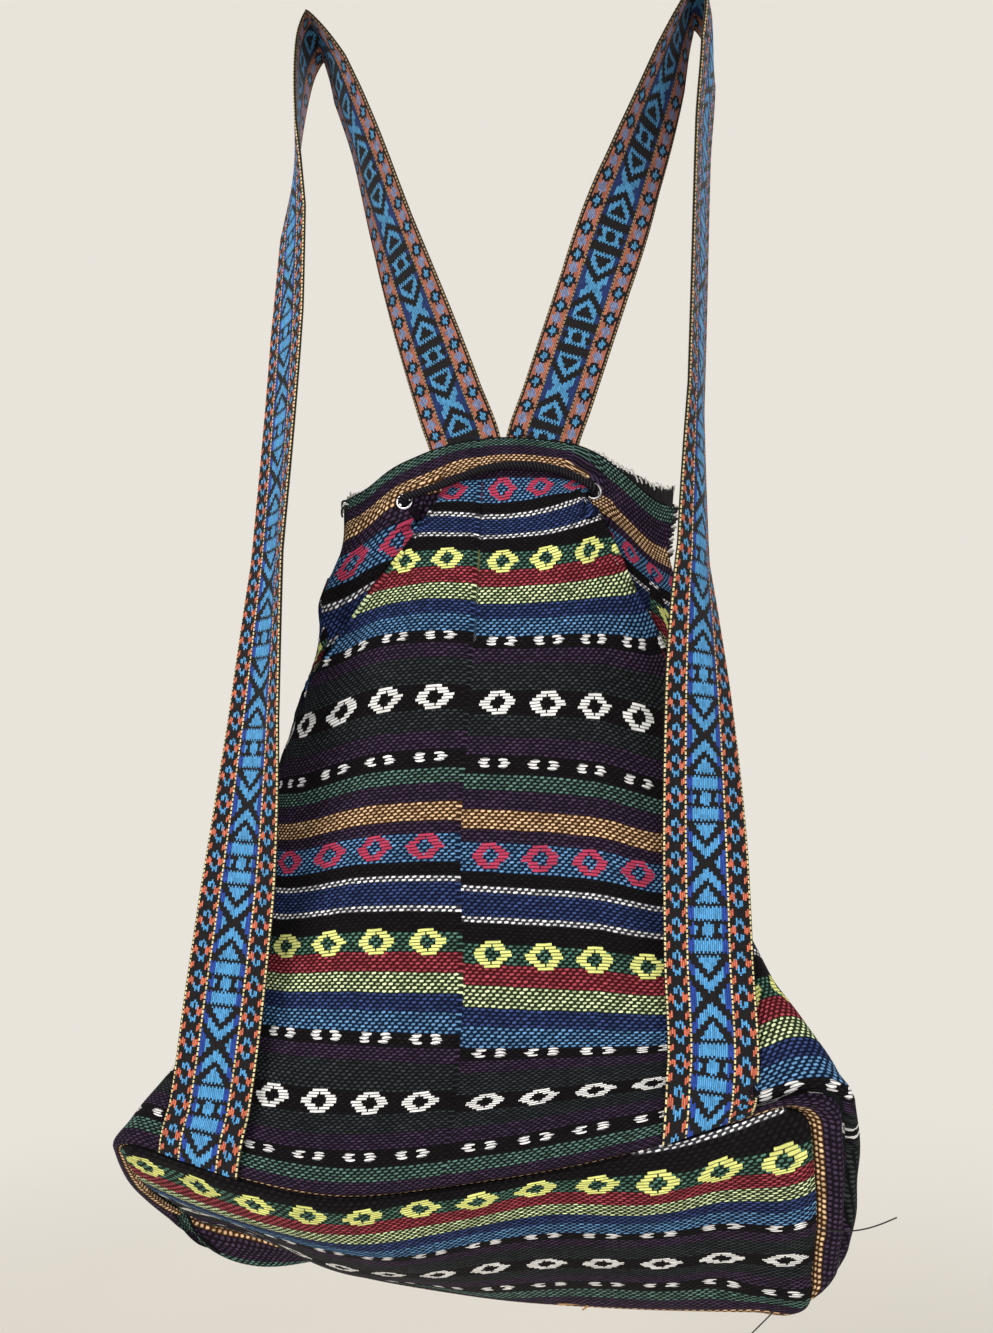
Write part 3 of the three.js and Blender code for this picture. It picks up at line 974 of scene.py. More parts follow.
def knot(name, line, material):
    """An overhand knot on the end of a cord, with a short stub under it."""
    go = unit(line[-1] - line[-4])
    side = unit(np.cross(go, [0, 1, 0]))
    out = np.cross(side, go)
    t = np.linspace(0.45, 2 * math.pi + 0.2, 150)
    loop = [np.sin(t) + 2 * np.sin(2 * t), np.cos(t) - 2 * np.cos(2 * t), -1.25 * np.sin(3 * t)]
    scale = 1.55
    turns = sum(part[:, None] * axis for part, axis in zip(loop, (side, -go, out))) * scale
    below = 2.5
    points, sides, bulge = twisted(line[-1] + go * below + turns)
    faces = capped(len(turns), sides)
    share = np.linspace(0, 1, 40)[:, None]
    stub = line[-1] + go * lerp(3, 17, share) + side * 3 * share ** 2
    more, sides, more_bulge = twisted(stub)
    faces += [[k + len(points) for k in face] for face in capped(len(stub), sides)]
    piece = make_piece(name, np.vstack([points, more]), faces, [material], np.vstack([bulge, more_bulge]))
    return piece


def cords():
    """The drawcord threaded through the eyelets, and its two free ends."""
    material = cord_material()
    line = drawcord_route().even(0.27)
    points, sides, bulge = twisted(line)
    piece = make_piece("drawcord_braid", points, capped(len(line), sides), [material], bulge)
    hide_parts("drawcord")
    for side, number in (("right", 3), ("left", 4)):
        line = tail_route(flats[number]).even(0.3)
        points, sides, bulge = twisted(line)
        piece = make_piece(f"cord_end_{side}", points, capped(len(line), sides), [material], bulge)
        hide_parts(f"cord_tail_{side}")
        tied = knot(f"cord_knot_{side}", line, material)


# Bag cloth. The sag is at the front, towards the left; END_U is where an end of the base begins.
SAG_U = 570.0
SAG_SPREAD = 55.0
SAG_RAISE = 12.0
END_U = 151.0
CORNER_OUT = 3.5
CORNER_DOWN = 3.0
SEAM_SHIFT = 9.5
SEAM_TURN = 1.8
PLEAT_LENGTH = 100.0


def seam_at(v):
    """Where the back seam lies in u."""
    return -SEAM_SHIFT * smooth(v, 50, 170)


def crease(v, hand):
    """Where the pleat's crease lies round the bag: it runs down and outwards from a back eyelet."""
    x = np.clip(HOLE_V - v, 0, PLEAT_LENGTH)
    start, slope, bend = (-31, -0.45, -0.0057) if hand < 0 else (47, 0.3, 0.0045)
    kink = 6 * hump(x, 4, 16, 22, 50) if hand < 0 else 0
    return start + slope * x + bend * x * x + kink


def pleat_line(around, v):
    """Distance outwards past the nearer pleat's crease."""
    return np.where(around < 0, crease(v, -1) - around, around - crease(v, 1))


def panel_warp(d, v):
    """How far a weft line of the back panel hangs off level, by distance from the seam."""
    out = np.abs(d)
    slope = 0.11 + 0.14 * smooth(v, 190, 290)
    left = slope * out * (1 - 0.0025 * out)
    limit = lerp(200, 48, smooth(v, 285, 320))
    curve = np.where(d > limit, limit * (2 * d - limit), d * d)
    bend = 0.0002 + 0.0045 * (np.maximum(v, 0) / 300) ** 3.5
    step = 6.8 - 0.0185 * v
    right = -0.14 * d + bend * curve - step
    fade = (1 - smooth(out, 115, 175)) * (1 - smooth(v, 337, 354))
    return np.where(d < 0, left, right) * fade


# Pairs of height on the bag and height in the cloth: slack folds below, the turned rim above.
FOOT = [(17, 1.7), (32, 26.4), (40, 39.0), (60, 62)]
EDGE = [(0, -22.2), (1.9, -20.2), (5, -17.5), *FOOT]
TOP = (BAG_HEIGHT, 385)
PANEL_LEVELS = [(0, -21), *FOOT, (262, 260.5), (308, 306), (326, 328.5),
                (349, 352), (363, 368), (368, 377), TOP]
EAR_LEVELS_LEFT = [*EDGE, (150, 150), (284, 312), (357, 363), TOP]
EAR_LEVELS_RIGHT = [*EDGE, (150, 150), (283, 301), (349, 367), TOP]
FRONT_LEVELS = [*EDGE, (349, 352), (363, 368), TOP]
# At the right end of the base the side slumps over a fold.
FOLD_V = 8.0
SLUMP_LEVELS = [(0, 50), (FOLD_V, 60.5), (10.5, 63), (27, 77.5), (39.5, 89), (50, 98.5), (58, 106.7),
                (100, 144), (180, 208), (283, 301), (349, 367), TOP]
ROLL_LEVELS = [(0, -24), (1.7, -20.2), (FOLD_V, -11.5)]
FOLD_JUMPS = [(140, 60.5), (165, 42), (195, 17), (240, 14), (275, 8)]
# Pairs of distance from the seam and slip of the motifs along the cloth on each ear.
SLIP_LEFT = [(30, 2.6), (46, 5.1), (75, 9.6), (110, 15), (190, 0)]
SLIP_RIGHT = [(50, -14), (69, -6.1), (84, 5.2), (96, 14), (110, 24.7), (200, 0)]


def level(v, pairs):
    """The second number of the pairs, by the first."""
    firsts, seconds = zip(*pairs)
    return np.interp(v, firsts, seconds)


def side_level(d, v):
    """Height in the cloth on the right side: a roll along the base seam, then slack cloth over a fold."""
    jump = level(d, FOLD_JUMPS)
    rest = np.maximum(level(v, FRONT_LEVELS), jump + 0.75 * (v - FOLD_V))
    upper = lerp(level(v, SLUMP_LEVELS), rest, smooth(d, 160, 195))
    return np.where(v < FOLD_V, level(v, ROLL_LEVELS), upper)


def panel_height(d, v):
    """Height in the cloth on the back panel."""
    s = v - panel_warp(d, v) * smooth(v, 20, 60)
    pulled = 1.6 * bump(d + 78, 28) * (1 - smooth(v, 0, 4))
    return level(s, PANEL_LEVELS) - pulled


def ear_height(d, v):
    """Height in the cloth past the pleats: on the ears, the sides and the front."""
    out = np.abs(d)
    front = smooth(out, 130, 190)
    tilt = 0.2 * hump(v, 290, 325, 325, 365) * (1 - front)
    left = level(v - tilt * (out - 68), EAR_LEVELS_LEFT)
    ear = np.where(d < 0, left, level(v, EAR_LEVELS_RIGHT))
    ear = lerp(ear, level(v, FRONT_LEVELS), front)
    slump = np.where(d > 0, hump(d, 118, 128, 255, 285), 0)
    return lerp(ear, side_level(d, v), slump)


def slip_along(d, v, turn):
    """How far the motifs are off their even places along the weft."""
    out = np.abs(d)
    slip = np.where(d < 0, level(out, SLIP_LEFT), level(out, SLIP_RIGHT)) * smooth(v, 240, 280)
    high = smooth(v, 240, 300)
    tight = np.where(d < 0, 0.07 * high, 0.09 * (high + smooth(v, 325, 350)))
    return lerp(d * tight, slip, turn)


def woven_at(d, v, beyond):
    """Place in the cloth as woven, by distance d from the back seam, height v and side of the pleat."""
    low = np.where(d < 0, smooth(-d, 95, 150), smooth(d, 96, 128))
    turn = lerp(low, beyond, smooth(v, 250, 275))
    top = np.where(d < 0, smooth(v, 352, 358), smooth(v, 351, 357))
    turn = lerp(turn, smooth(pleat_line(d + seam_at(v), v), -14, 14), top)
    # The last thread or two beside the seam are turned in.
    inside = np.where(d < 0, np.minimum(d, -SEAM_TURN) + RING, d)
    across = inside + slip_along(d, v, turn) - FIRST_MOTIF
    return across, lerp(panel_height(d, v), ear_height(d, v), turn)


def spaced(edges, steps):
    """Rising numbers through edges, with the given step in each interval."""
    parts = []
    for low, high, step in zip(edges, edges[1:], steps):
        parts.append(np.linspace(low, high, max(1, round((high - low) / step)), endpoint=False))
    return np.concatenate(parts + [[edges[-1]]])


# Columns of the cloth: widths at the seam, on both panels, at a crease, at an eyelet and elsewhere.
SEAM_STEP = 1.2
PANEL_STEP_RIGHT = 2.1
PANEL_STEP_LEFT = 1.2
CREASE_STEP = 0.9
EYELET_STEP = 1.35
WIDE_STEP = 3.2
# How far the narrow columns reach from the seam, from an eyelet, and outwards and inwards from a crease.
SEAM_FINE = 6.0
EYELET_FINE = 9.0
CREASE_OUT = 24.0
CREASE_IN_RIGHT = 14.0
CREASE_IN_LEFT = 10.0
# Room that the eyelets' columns leave before the left crease.
CREASE_ROOM = 74.0


def cloth_columns(heights):
    """Distances from the seam by height, in columns that follow the creases."""
    middles = [flat.u + SEAM_SHIFT for flat in flats[1:-1]]
    first = middles[0] - EYELET_FINE
    last = middles[-1] + EYELET_FINE

    def edges(v):
        right = crease(v, 1) - seam_at(v)
        left = RING + crease(v, -1) - seam_at(v)
        end = min(last, left - CREASE_ROOM)
        near = [0.0, SEAM_FINE, right - CREASE_IN_RIGHT, right + CREASE_OUT, first]
        far = [end, left - CREASE_OUT, left + CREASE_IN_LEFT, RING - SEAM_FINE, RING]
        return near + far

    even_height = HOLE_V - 40
    rest = edges(even_height)
    stops = rest[:5]
    steps = [SEAM_STEP, PANEL_STEP_RIGHT, CREASE_STEP, WIDE_STEP]
    for one, two in zip(middles, middles[1:]):
        stops += [one + EYELET_FINE, two - EYELET_FINE]
        steps += [EYELET_STEP, WIDE_STEP]
    stops += rest[5:]
    steps += [EYELET_STEP, WIDE_STEP, CREASE_STEP, PANEL_STEP_LEFT, SEAM_STEP]
    columns = spaced(stops, steps)
    return np.array([np.interp(columns, rest, edges(v)) for v in heights])


def ring_frame(points):
    """Directions out of the cloth and round it, for a grid whose last column repeats the first."""
    ring = points[:, :-1]
    across = np.roll(ring, -1, 1) - np.roll(ring, 1, 1)
    out = unit(np.cross(across, np.gradient(ring, axis=0)))
    across = unit(across)
    return np.concatenate([out, out[:, :1]], 1), np.concatenate([across, across[:, :1]], 1)


def sag_share(u):
    """Where the front of the cloth hangs below its seam, towards the left."""
    return bump(signed(u - SAG_U), SAG_SPREAD)


def seam_dip(p):
    """How far the back of the base seam hangs lower than the solid's."""
    return 4.5 * bump(p + 55, 45)


def right_push(q):
    """How far the right end of the base bulges past the solid, by distance from its back seam."""
    return 4.5 * bump(q - 70, 50)


def left_push(q):
    """The same for the left end."""
    return 5.0 * bump(q - 55, 42)


def ear_shift(around, v):
    """How far each ear, which comes to a point, is off the solid sideways and upwards."""
    tip = smooth(v, 335, BAG_HEIGHT)
    left = bump(around + 108, 24)
    right = bump(around - 110, 22)
    bulge = 5.5 * spot(around, v, -112, 32, 322, 30)
    swing = 2.5 * smooth(v, 230, 330) * bump(around - 108, 30)
    return 4.5 * tip * left - bulge + swing, 12 * tip * (left + right)


def free_of_eyelets(u, v):
    """1 where the cloth is free, 0 where an eyelet holds it flat."""
    free = np.ones_like(v)
    for flat in flats:
        free = free * (1 - near_flat(u, v, flat)[1])
    return free


def pleats(around, v, free):
    """The pleats below the back eyelets: how far the cloth is shifted round the bag, and outwards."""
    past = pleat_line(around, v)
    x = HOLE_V - v
    start = np.where(around < 0, smooth(x, 3, 14), smooth(x, -7, 2))
    amount = start * (1 - smooth(x, 60, 92)) * np.where(past < 0, 1, free)
    shift = -8.5 * np.sin(math.pi * np.clip(past / 9, -1, 1)) * amount * np.sign(around)
    ridge = 2.2 * bump(past + 3.5, 5)
    hollow = 5.5 * smooth(past, -3, 4) * fading(np.maximum(past, 0), 40)
    return shift, (ridge - hollow) * amount


def wrinkles(d, u, v, free):
    """How far puckers, waves, small wrinkles and gathers lift the cloth, and its seams dent it."""
    seam = signed(d)
    puckers = 0.4 * np.sin(v * 0.72 + np.sin(v * 0.13)) * bump(seam, 9)
    waves = 0.9 * ripple(u, v, seed=3, waves=7, longest=60) * smooth(v, 0, 25)
    small = 0.35 * ripple(u, v, seed=8, waves=7, longest=24) * smooth(v, 0, 15)
    gathers = 1.6 * np.sin(2 * math.pi * 26 * u / RING + 1.5 * np.sin(v / 40))
    gathers = gathers * smooth(v, 190, 345) * (1 - bump(signed(u), 90))
    back_seam = 1.3 * bump(seam, 2.0) * smooth(v, 0, 8)
    base_seam = 1.8 * bump(v, 2.6)
    return (puckers + waves + small + gathers) * free - back_seam - base_seam


def end_rolls(around, v):
    """The roll along each end of the base. On the right, where the side slumps, a deep fold is above it."""
    right = 3.0 * bump(v - 4.5, 3.0) - 5.0 * bump(v - FOLD_V, 1.6) + 3.0 * bump(v - 14, 5)
    left = 5.0 * bump(v - 6, 4.5)
    return hump(around, 112, 135, 235, 275) * right + bump(around + 215, 60) * left


def hang_off(u, around, v, free):
    """How far the cloth hangs off the solid, along each axis."""
    sideways, upwards = ear_shift(around, v)
    hip = 9 * spot(around, v, -150, 42, 50, 34)
    waist = 6 * bump(around - 160, 28) * hump(v, 5, 25, 60, 140)
    right = right_push(around - END_U) * fading(v, 70)
    left = left_push(-around - END_U) * fading(v, 40)
    # Past the left end of the base the cloth shows as a border round it.
    border = spot(around, v, -222, 75, 5, 5)
    corner = bump(around - 275, 16) * fading(v, 12)
    share = sag_share(u)
    sag = share * (SAG_RAISE * fading(v, 6) - 30 * bump(v - 15, 10))
    x = sideways * free + hip - waist + right - left - 4 * border + CORNER_OUT * corner
    y = 7 * share * bump(v - 10, 12)
    z = upwards * free + sag - seam_dip(around) * fading(v, 50) - 4.5 * border - CORNER_DOWN * corner
    return np.stack([x, y, z], -1)


def bag_surface(d, v):
    """Outside of the bag's cloth, and how far the pleats shift it round the bag."""
    u = d + seam_at(v)
    around = signed(u)
    points = shell(u, v)
    out, across = ring_frame(points)
    free = free_of_eyelets(u, v)
    shift, depth = pleats(around, v, free)
    depth = depth + wrinkles(d, u, v, free) + end_rolls(around, v)
    points = points + across * shift[..., None] + out * depth[..., None]
    return points + hang_off(u, around, v, free), shift


def turned_rim(face, lining):
    """Rows of points over the rim from the outside of the cloth to its lining, and the way up there."""
    rise = unit(face[-1] - face[-3])
    rows = []
    for degrees in (45, 90, 135):
        turn = math.radians(degrees)
        share = (1 - math.cos(turn)) / 2
        rows.append(lerp(face[-1], lining[-1], share) + rise * HEM_CLOTH / 2 * math.sin(turn))
    return np.array(rows), rise


def bag_faces(rows, count):
    """Quads of the bag's grid, and of the strip at the base seam that joins the lining to the outside."""
    last = (rows - 1) * count
    foot = [[last + i, last + i + 1, i + 1, i] for i in range(count - 1)]
    return np.concatenate([grid_faces(rows, count), foot])


def clear_of_holes(u, v):
    """Whether places on the cloth are clear of the eyelets' holes."""
    clear = np.ones(len(u), bool)
    for flat in flats:
        clear &= np.hypot(signed(u - flat.u), v - HOLE_V) > EYELET_HOLE + 0.75
    return clear


def bag_places(d, v, shift):
    """Places in the cloth as woven, for the corners of each face."""
    middle_d = d.mean(1, keepdims=True)
    middle_v = v.mean(1, keepdims=True)
    beyond = pleat_line(signed(middle_d + seam_at(middle_v)), middle_v) > 0
    hair = 1e-6
    wrapped = np.where(middle_d > RING / 2, d - RING - hair, d)
    return np.stack(woven_at(wrapped + shift, v, beyond), -1)


def bag_cloth(material):
    """The tube of cloth with its turned rim and lining. Gives back the rim for what is sewn to it."""
    outer = spaced([0, 12, 250, BAG_HEIGHT], [1.2, 2.5, 1.65])
    inner = spaced([0, 250, 335, 363, BAG_HEIGHT], [10, 6, 1.6, 4])[::-1]
    d = cloth_columns(outer)
    v = np.broadcast_to(outer[:, None], d.shape)
    face, shift = bag_surface(d, v)
    out, _ = ring_frame(face)
    thick = lerp(CLOTH, HEM_CLOTH, smooth(v, BAG_HEIGHT - HEM - 4, BAG_HEIGHT - HEM))
    lining = face - out * thick[..., None]
    lip, rise = turned_rim(face, lining)
    picks = [int(np.abs(outer - height).argmin()) for height in inner]
    grid = np.concatenate([face, lip, lining[picks]])
    rows, count = grid.shape[:2]
    faces = bag_faces(rows, count)

    def at_corners(values):
        return np.concatenate([values, values[[-1] * len(lip)], values[picks]]).ravel()[faces]

    corner_d, corner_v, corner_shift = (at_corners(values) for values in (d, v, shift))
    middle_v = corner_v.mean(1)
    keep = clear_of_holes(corner_d.mean(1) + seam_at(middle_v), middle_v)
    where = bag_places(corner_d, corner_v, corner_shift)
    over_rim = np.zeros(rows)
    over_rim[len(outer):len(outer) + len(lip)] = 1 + np.arange(len(lip))
    where[..., 1] += over_rim[faces // count]
    # The last column is the first one again, so that the seam is closed.
    joined = faces[keep] // count * (count - 1) + faces[keep] % count % (count - 1)
    used, joined = np.unique(joined, return_inverse=True)
    points = grid[:, :-1].reshape(-1, 3)[used]
    piece = make_piece("bag_cloth", points, joined.reshape(-1, 4), [material], where[keep].reshape(-1, 2))
    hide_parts("bag_body")
    middle = signed(d[-1] + seam_at(BAG_HEIGHT))
    order = np.argsort(middle)
    return {"around": middle[order], "top": lining[-1][order], "rise": rise[order], "out": out[-1][order]}


# Base panel: start and pitch of its motifs, then pairs of distance from the back seam and height in the
# cloth, from left to right.
BASE_PHASE = 11.6
BASE_PITCH = 0.917
BASE_SEAM = [(122, -20), (BASE_DEPTH, -26)]
BASE_LEFT = [(0, 118), (17.5, 106.7), (45, 88), (58.5, 71), (68.5, 63.5), (95, 33), (118, 6), *BASE_SEAM]
BASE_MIDDLE = [(0, 116.5), (7.5, 106.7), (39, 63.5), (61.5, 33), (87, 1.7), *BASE_SEAM]
BASE_RIGHT = [(0, 124.6), (3, 121), (24, 106.7), (57.5, 63.5), (78, 33), (95, 1.7), *BASE_SEAM]
BASE_END = [(0, 124.6), (3, 121), (20, 113.5), (31, 106.7), (70, 63.5), (90, 33), (113, 1.7),
            (123, -20), (BASE_DEPTH, -26)]


def base_grid():
    """Distances across the base, from its back seam and from its edge, closer together at the edge."""
    qs = spaced([SEAT, 5, BASE_CORNER, BASE_DEPTH - BASE_CORNER, BASE_DEPTH - 5, BASE_DEPTH - SEAT],
                [0.6, 1.5, 2.2, 1.5, 0.6])
    shares = spaced([-1, -0.96, 0.96, 1], [0.006, 0.014, 0.006])
    share, q = np.meshgrid(shares, qs)
    over = np.maximum(0, np.abs(q - BASE_DEPTH / 2) - (BASE_DEPTH / 2 - BASE_CORNER))
    half = BASE_WIDTH / 2 - BASE_CORNER + np.sqrt(np.maximum(0, BASE_CORNER ** 2 - over ** 2)) - SEAT
    p = half * share
    edge = np.minimum(np.minimum(q, BASE_DEPTH - q), half - np.abs(p) + SEAT)
    return p, q, edge


def base_surface(p, q, edge):
    """Underside of the base's cloth, and the way out of it."""
    across = base_point(p + 1, q) - base_point(p - 1, q)
    along = base_point(p, q + 1) - base_point(p, q - 1)
    down = unit(np.cross(along, across))
    turned_in = 1.6 * bump(edge, 2.6)
    waves = 0.9 * ripple(p, q, seed=5, waves=7, longest=55) * smooth(edge, 0, 14)
    puckers = 1.1 * np.sin(p / 9 + np.sin(q / 17)) * bump(q, 16) * smooth(edge, 0, 8)
    lift = SEAT + CLOTH - turned_in + waves + puckers
    points = base_point(p, q) + down * lift[..., None]
    corner = smooth(p, 135, 155) * smooth(q, 105, 122)
    ends = right_push(q) * smooth(p, 100, 160) - left_push(q) * smooth(-p, 100, 160)
    points[..., 0] += ends + CORNER_OUT * corner
    points[..., 2] += 0.9 * SAG_RAISE * sag_share(RING / 2 - p) * smooth(q, 20, BASE_DEPTH)
    points[..., 2] -= seam_dip(p) * (1 - smooth(q, 0, 90)) + CORNER_DOWN * corner
    return points, down


def base_places(p, q):
    """Places in the cloth as woven."""
    height = lerp(level(q, BASE_LEFT), level(q, BASE_MIDDLE), smooth(p, -100, 43))
    height = lerp(height, level(q, BASE_RIGHT), smooth(p, 43, 112))
    height = lerp(height, level(q, BASE_END), smooth(p, 112, 152))
    return np.stack([p * BASE_PITCH + BASE_PHASE, height], -1).reshape(-1, 2)


def base_cloth(material):
    """Rounded panel under the bag, with its edge turned in at the seam."""
    p, q, edge = base_grid()
    outer, down = base_surface(p, q, edge)
    inner = outer - down * CLOTH
    points = np.concatenate([outer.reshape(-1, 3), inner.reshape(-1, 3)])
    where = np.concatenate([base_places(p, q)] * 2)
    piece = make_piece("base_cloth", points, sheet_faces(*p.shape), [material], where)
    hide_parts("base_panel")


# Straps. The left one is sewn on a little nearer to the middle than in the solid.
STRAP_TOP_LEFT = 17.5
# Pairs of share of the height and turn of the band away from the viewer, in degrees.
TWIST_DOWN_LEFT = [(0.1, 0), (0.2, 8), (0.34, 32), (0.48, 48), (0.7, 48), (0.8, 54), (0.88, 74), (1, 90)]
TWIST_DOWN_RIGHT = [(0.1, 0), (0.2, 8), (0.34, 34), (0.41, 51), (0.45, 62), (0.59, 74), (0.93, 74), (1, 90)]
TWIST_UP_LEFT = [(0, 0), (0.11, 14), (0.3, 29), (0.5, 46), (0.75, 62), (0.88, 68), (1, 90)]
TWIST_UP_RIGHT = [(0, 0), (0.37, 0), (0.5, 20), (0.6, 38), (0.84, 64), (1, 90)]
# Heights where a strap leaves the rim, meets the cloth again and ends at the base seam.
LIP_V = BAG_HEIGHT - 3
SHIN_V = 26.0
FOOT_V = 1.5
# How the band is curled: on the way up, on the way down and over the hook.
CURL_UP = math.radians(12)
CURL_DOWN = math.radians(14)
CUP = math.radians(10)
# The point of the route that is on the hook.
CROWN_KNOT = 7
# Rows and columns of the band's grid, and width of the thinner selvage.
BAND_ROWS = 421
BAND_COLUMNS = 33
SELVAGE = 1.2


def level_way(u, v):
    """The way round the bag at a place on its cloth."""
    step = 5
    return lay(u + step, v, 0) - lay(u - step, v, 0)


class Band:
    """One shoulder strap: from inside the rim, up and over its hook, down to the base seam."""

    def __init__(self, hand, foot_u, slide):
        self.hand = hand
        self.foot_u = foot_u
        self.slide = slide
        self.top_u = STRAP_TOP if hand > 0 else -STRAP_TOP_LEFT
        self.inside = -HEM_CLOTH - 2 * SEAT - STRAP_THICK / 2
        self.outside = SEAT + STRAP_THICK / 2
        tuck = lay(self.top_u, BAG_HEIGHT - STRAP_TUCK, self.inside)
        self.lip = lay(self.top_u, LIP_V, self.inside)
        self.foot = lay(foot_u, FOOT_V, self.outside + 0.3)
        shin = lay(foot_u, SHIN_V, self.outside + 1.4)
        hook = np.array([hand * HOOK_HALF, 0, 0])
        inner = hook + [-hand * CROWN, 0, -4]
        outer = hook + [hand * CROWN, 0, -4]
        self.crown = hook + [0, 0, CROWN]
        climb = [lerp(self.lip, inner, s) for s in (0.12, 0.35, 0.6, 0.85)]
        fall = [lerp(outer, shin, s) + self.bow(s) for s in (0.15, 0.35, 0.55, 0.75, 0.9)]
        self.route = Route([tuck, self.lip, *climb, inner, self.crown, outer, *fall, shin, self.foot])
        self.knots = len(self.route.points) - 1

    def bow(self, s):
        """How far the falling part sways towards the middle."""
        width, skew = (8, 1.3) if self.hand < 0 else (5, 0.8)
        return np.array([-self.hand * width * math.sin(math.pi * s ** skew), 0, 0])

    def row(self, share, q, lift):
        """Points across the band at a share of the way along, lifted off its middle layer."""
        t = self.knots * share
        if t <= 1:
            v = lerp(BAG_HEIGHT - STRAP_TUCK, LIP_V, t)
            return lay(self.top_u + q, v + 0 * q, self.inside - lift)
        if t >= self.knots - 1:
            return self.sewn(t - self.knots + 1, q, lift)
        return self.hanging(share, q, lift)

    def sewn(self, low, q, lift):
        """Points across the lowest part, which is sewn into the base seam."""
        shin = self.hanging(1 - 1.001 / self.knots, q, lift)
        foot = lay(self.foot_u + self.slide + q * 0.97, FOOT_V + 0 * q, self.outside + 0.3 + lift)
        foot[:, 2] -= seam_dip(self.foot_u + q)
        return lerp(shin, foot, low) + [0, -2.5 * math.sin(math.pi * low), 0]

    def height(self, at, end):
        """Height of a point as a share of the way from an end of the band to its crown."""
        return np.clip((at[2] - end[2]) / (self.crown[2] - end[2]), 0, 1)

    def turned(self, t, at):
        """The band's turn from level, its curl, and how firmly the cloth holds it along which way."""
        left = self.hand < 0
        cup = CUP * self.hand
        if t > CROWN_KNOT:
            high = self.height(at, self.foot)
            facing = 180 - level(high, TWIST_DOWN_LEFT if left else TWIST_DOWN_RIGHT)
            curl = CURL_DOWN * bump(high - 0.42, 0.2) + cup * bump(high - 1, 0.07)
            near = smooth(t, self.knots - 2.2, self.knots - 1)
            return math.radians(facing), curl, near, level_way(self.foot_u, SHIN_V)
        high = self.height(at, self.lip)
        facing = level(high, TWIST_UP_LEFT if left else TWIST_UP_RIGHT)
        curl = CURL_UP * bump(high - 0.75, 0.2) + cup * bump(high - 1, 0.13)
        near = 1 - smooth(t, 1, 2)
        return math.radians(facing), curl, near, level_way(self.top_u, LIP_V)

    def hanging(self, share, q, lift):
        """Points across the band where it hangs free, stepping out from its middle along the curl."""
        at = self.route.point(share)
        go = self.route.tangent(share)
        back = unit(np.array([0, 1.0, 0]) - go * go[1])
        wide = np.cross(back, go)
        facing, curl, near, way = self.turned(self.knots * share, at)
        way = unit(way - go * (way @ go))
        cells = 4
        stride = q / cells
        spots = np.broadcast_to(at, (len(q), 3)).copy()
        for s in range(1, cells + 1):
            bend = curl * smooth(np.abs(stride) * (s - 0.5), 0, 8)
            turn = self.hand * (facing - np.sign(q) * bend)
            across = np.cos(turn)[:, None] * wide + np.sin(turn)[:, None] * back
            across = unit(lerp(across, way, near))
            spots = spots + across * stride[:, None]
        return spots + unit(np.cross(go, across)) * np.asarray(lift)[:, None]


def band_section():
    """Places across the band, closer together at its selvages, and half its thickness there."""
    steps = np.linspace(-1, 1, BAND_COLUMNS)
    q = STRAP_WIDTH / 2 * lerp(np.sin(steps * math.pi / 2 * 0.999), steps, 0.6)
    over = np.clip((np.abs(q) - STRAP_WIDTH / 2 + SELVAGE) / SELVAGE, 0, 1)
    return q, STRAP_THICK / 2 * np.sqrt(1 - 0.9 * over ** 2)


def band_rows(band):
    """Shares of the route for rows that are evenly spaced along the band, and their distances along it."""
    shares = np.linspace(0, 1, BAND_ROWS)
    flat_middle = np.array([0.0])
    middle = np.array([band.row(share, flat_middle, flat_middle)[0] for share in shares])
    length = lengths(middle)
    even = np.linspace(0, length[-1], BAND_ROWS)
    return np.interp(even, length, shares), even


def strap_band(side, hand, foot_u, slide, foot_phase, rim_phase, materials):
    """A strap with rounded selvages. The phases set the pattern at its foot and at the rim."""
    band = Band(hand, foot_u, slide)
    q, half = band_section()
    shares, even = band_rows(band)
    layers = []
    for facing in (1, -1):
        layers.append(np.array([band.row(share, q, facing * half) for share in shares]).reshape(-1, 3))
    free = even[-1] - np.interp(1 / band.knots, shares, even)
    turns = round((free + foot_phase - rim_phase) / BAND_REPEAT)
    pace = (turns * BAND_REPEAT + rim_phase - foot_phase) / free
    x, s = np.meshgrid(q, (even[-1] - even) * pace + foot_phase)
    where = np.stack([x, s], -1).reshape(-1, 2)
    faces = sheet_faces(BAND_ROWS, BAND_COLUMNS)
    layer = (BAND_ROWS - 1) * (BAND_COLUMNS - 1)
    choice = [0] * layer + [1] * layer + [0] * (len(faces) - 2 * layer)
    piece = make_piece(f"strap_{side}_band", np.concatenate(layers), faces, materials,
                       np.concatenate([where, where]), choice)
    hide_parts(f"strap_{side}")


# Eyelets.


def eyelet_profile():
    """Radius and height of the points round the metal's section: outer roll, bore, inner roll, barrel."""
    bead = (EYELET_R - EYELET_HOLE) / 2
    middle = (EYELET_R + EYELET_HOLE) / 2
    outer = [(math.radians(degrees), SEAT + 0.1, 0.8) for degrees in range(-10, 191, 20)]
    inner = [(math.radians(degrees), -HEM_CLOTH - SEAT - 0.35, 0.6) for degrees in range(170, 371, 20)]
    rolls = []
    for turns in (outer, inner):
        rolls.append([(middle + bead * math.cos(a), h + tall * math.sin(a)) for a, h, tall in turns])
    bore = (EYELET_HOLE, -HEM_CLOTH / 2)
    barrel = (EYELET_HOLE + 0.6, -HEM_CLOTH / 2)
    return [*rolls[0], bore, *rolls[1], barrel]


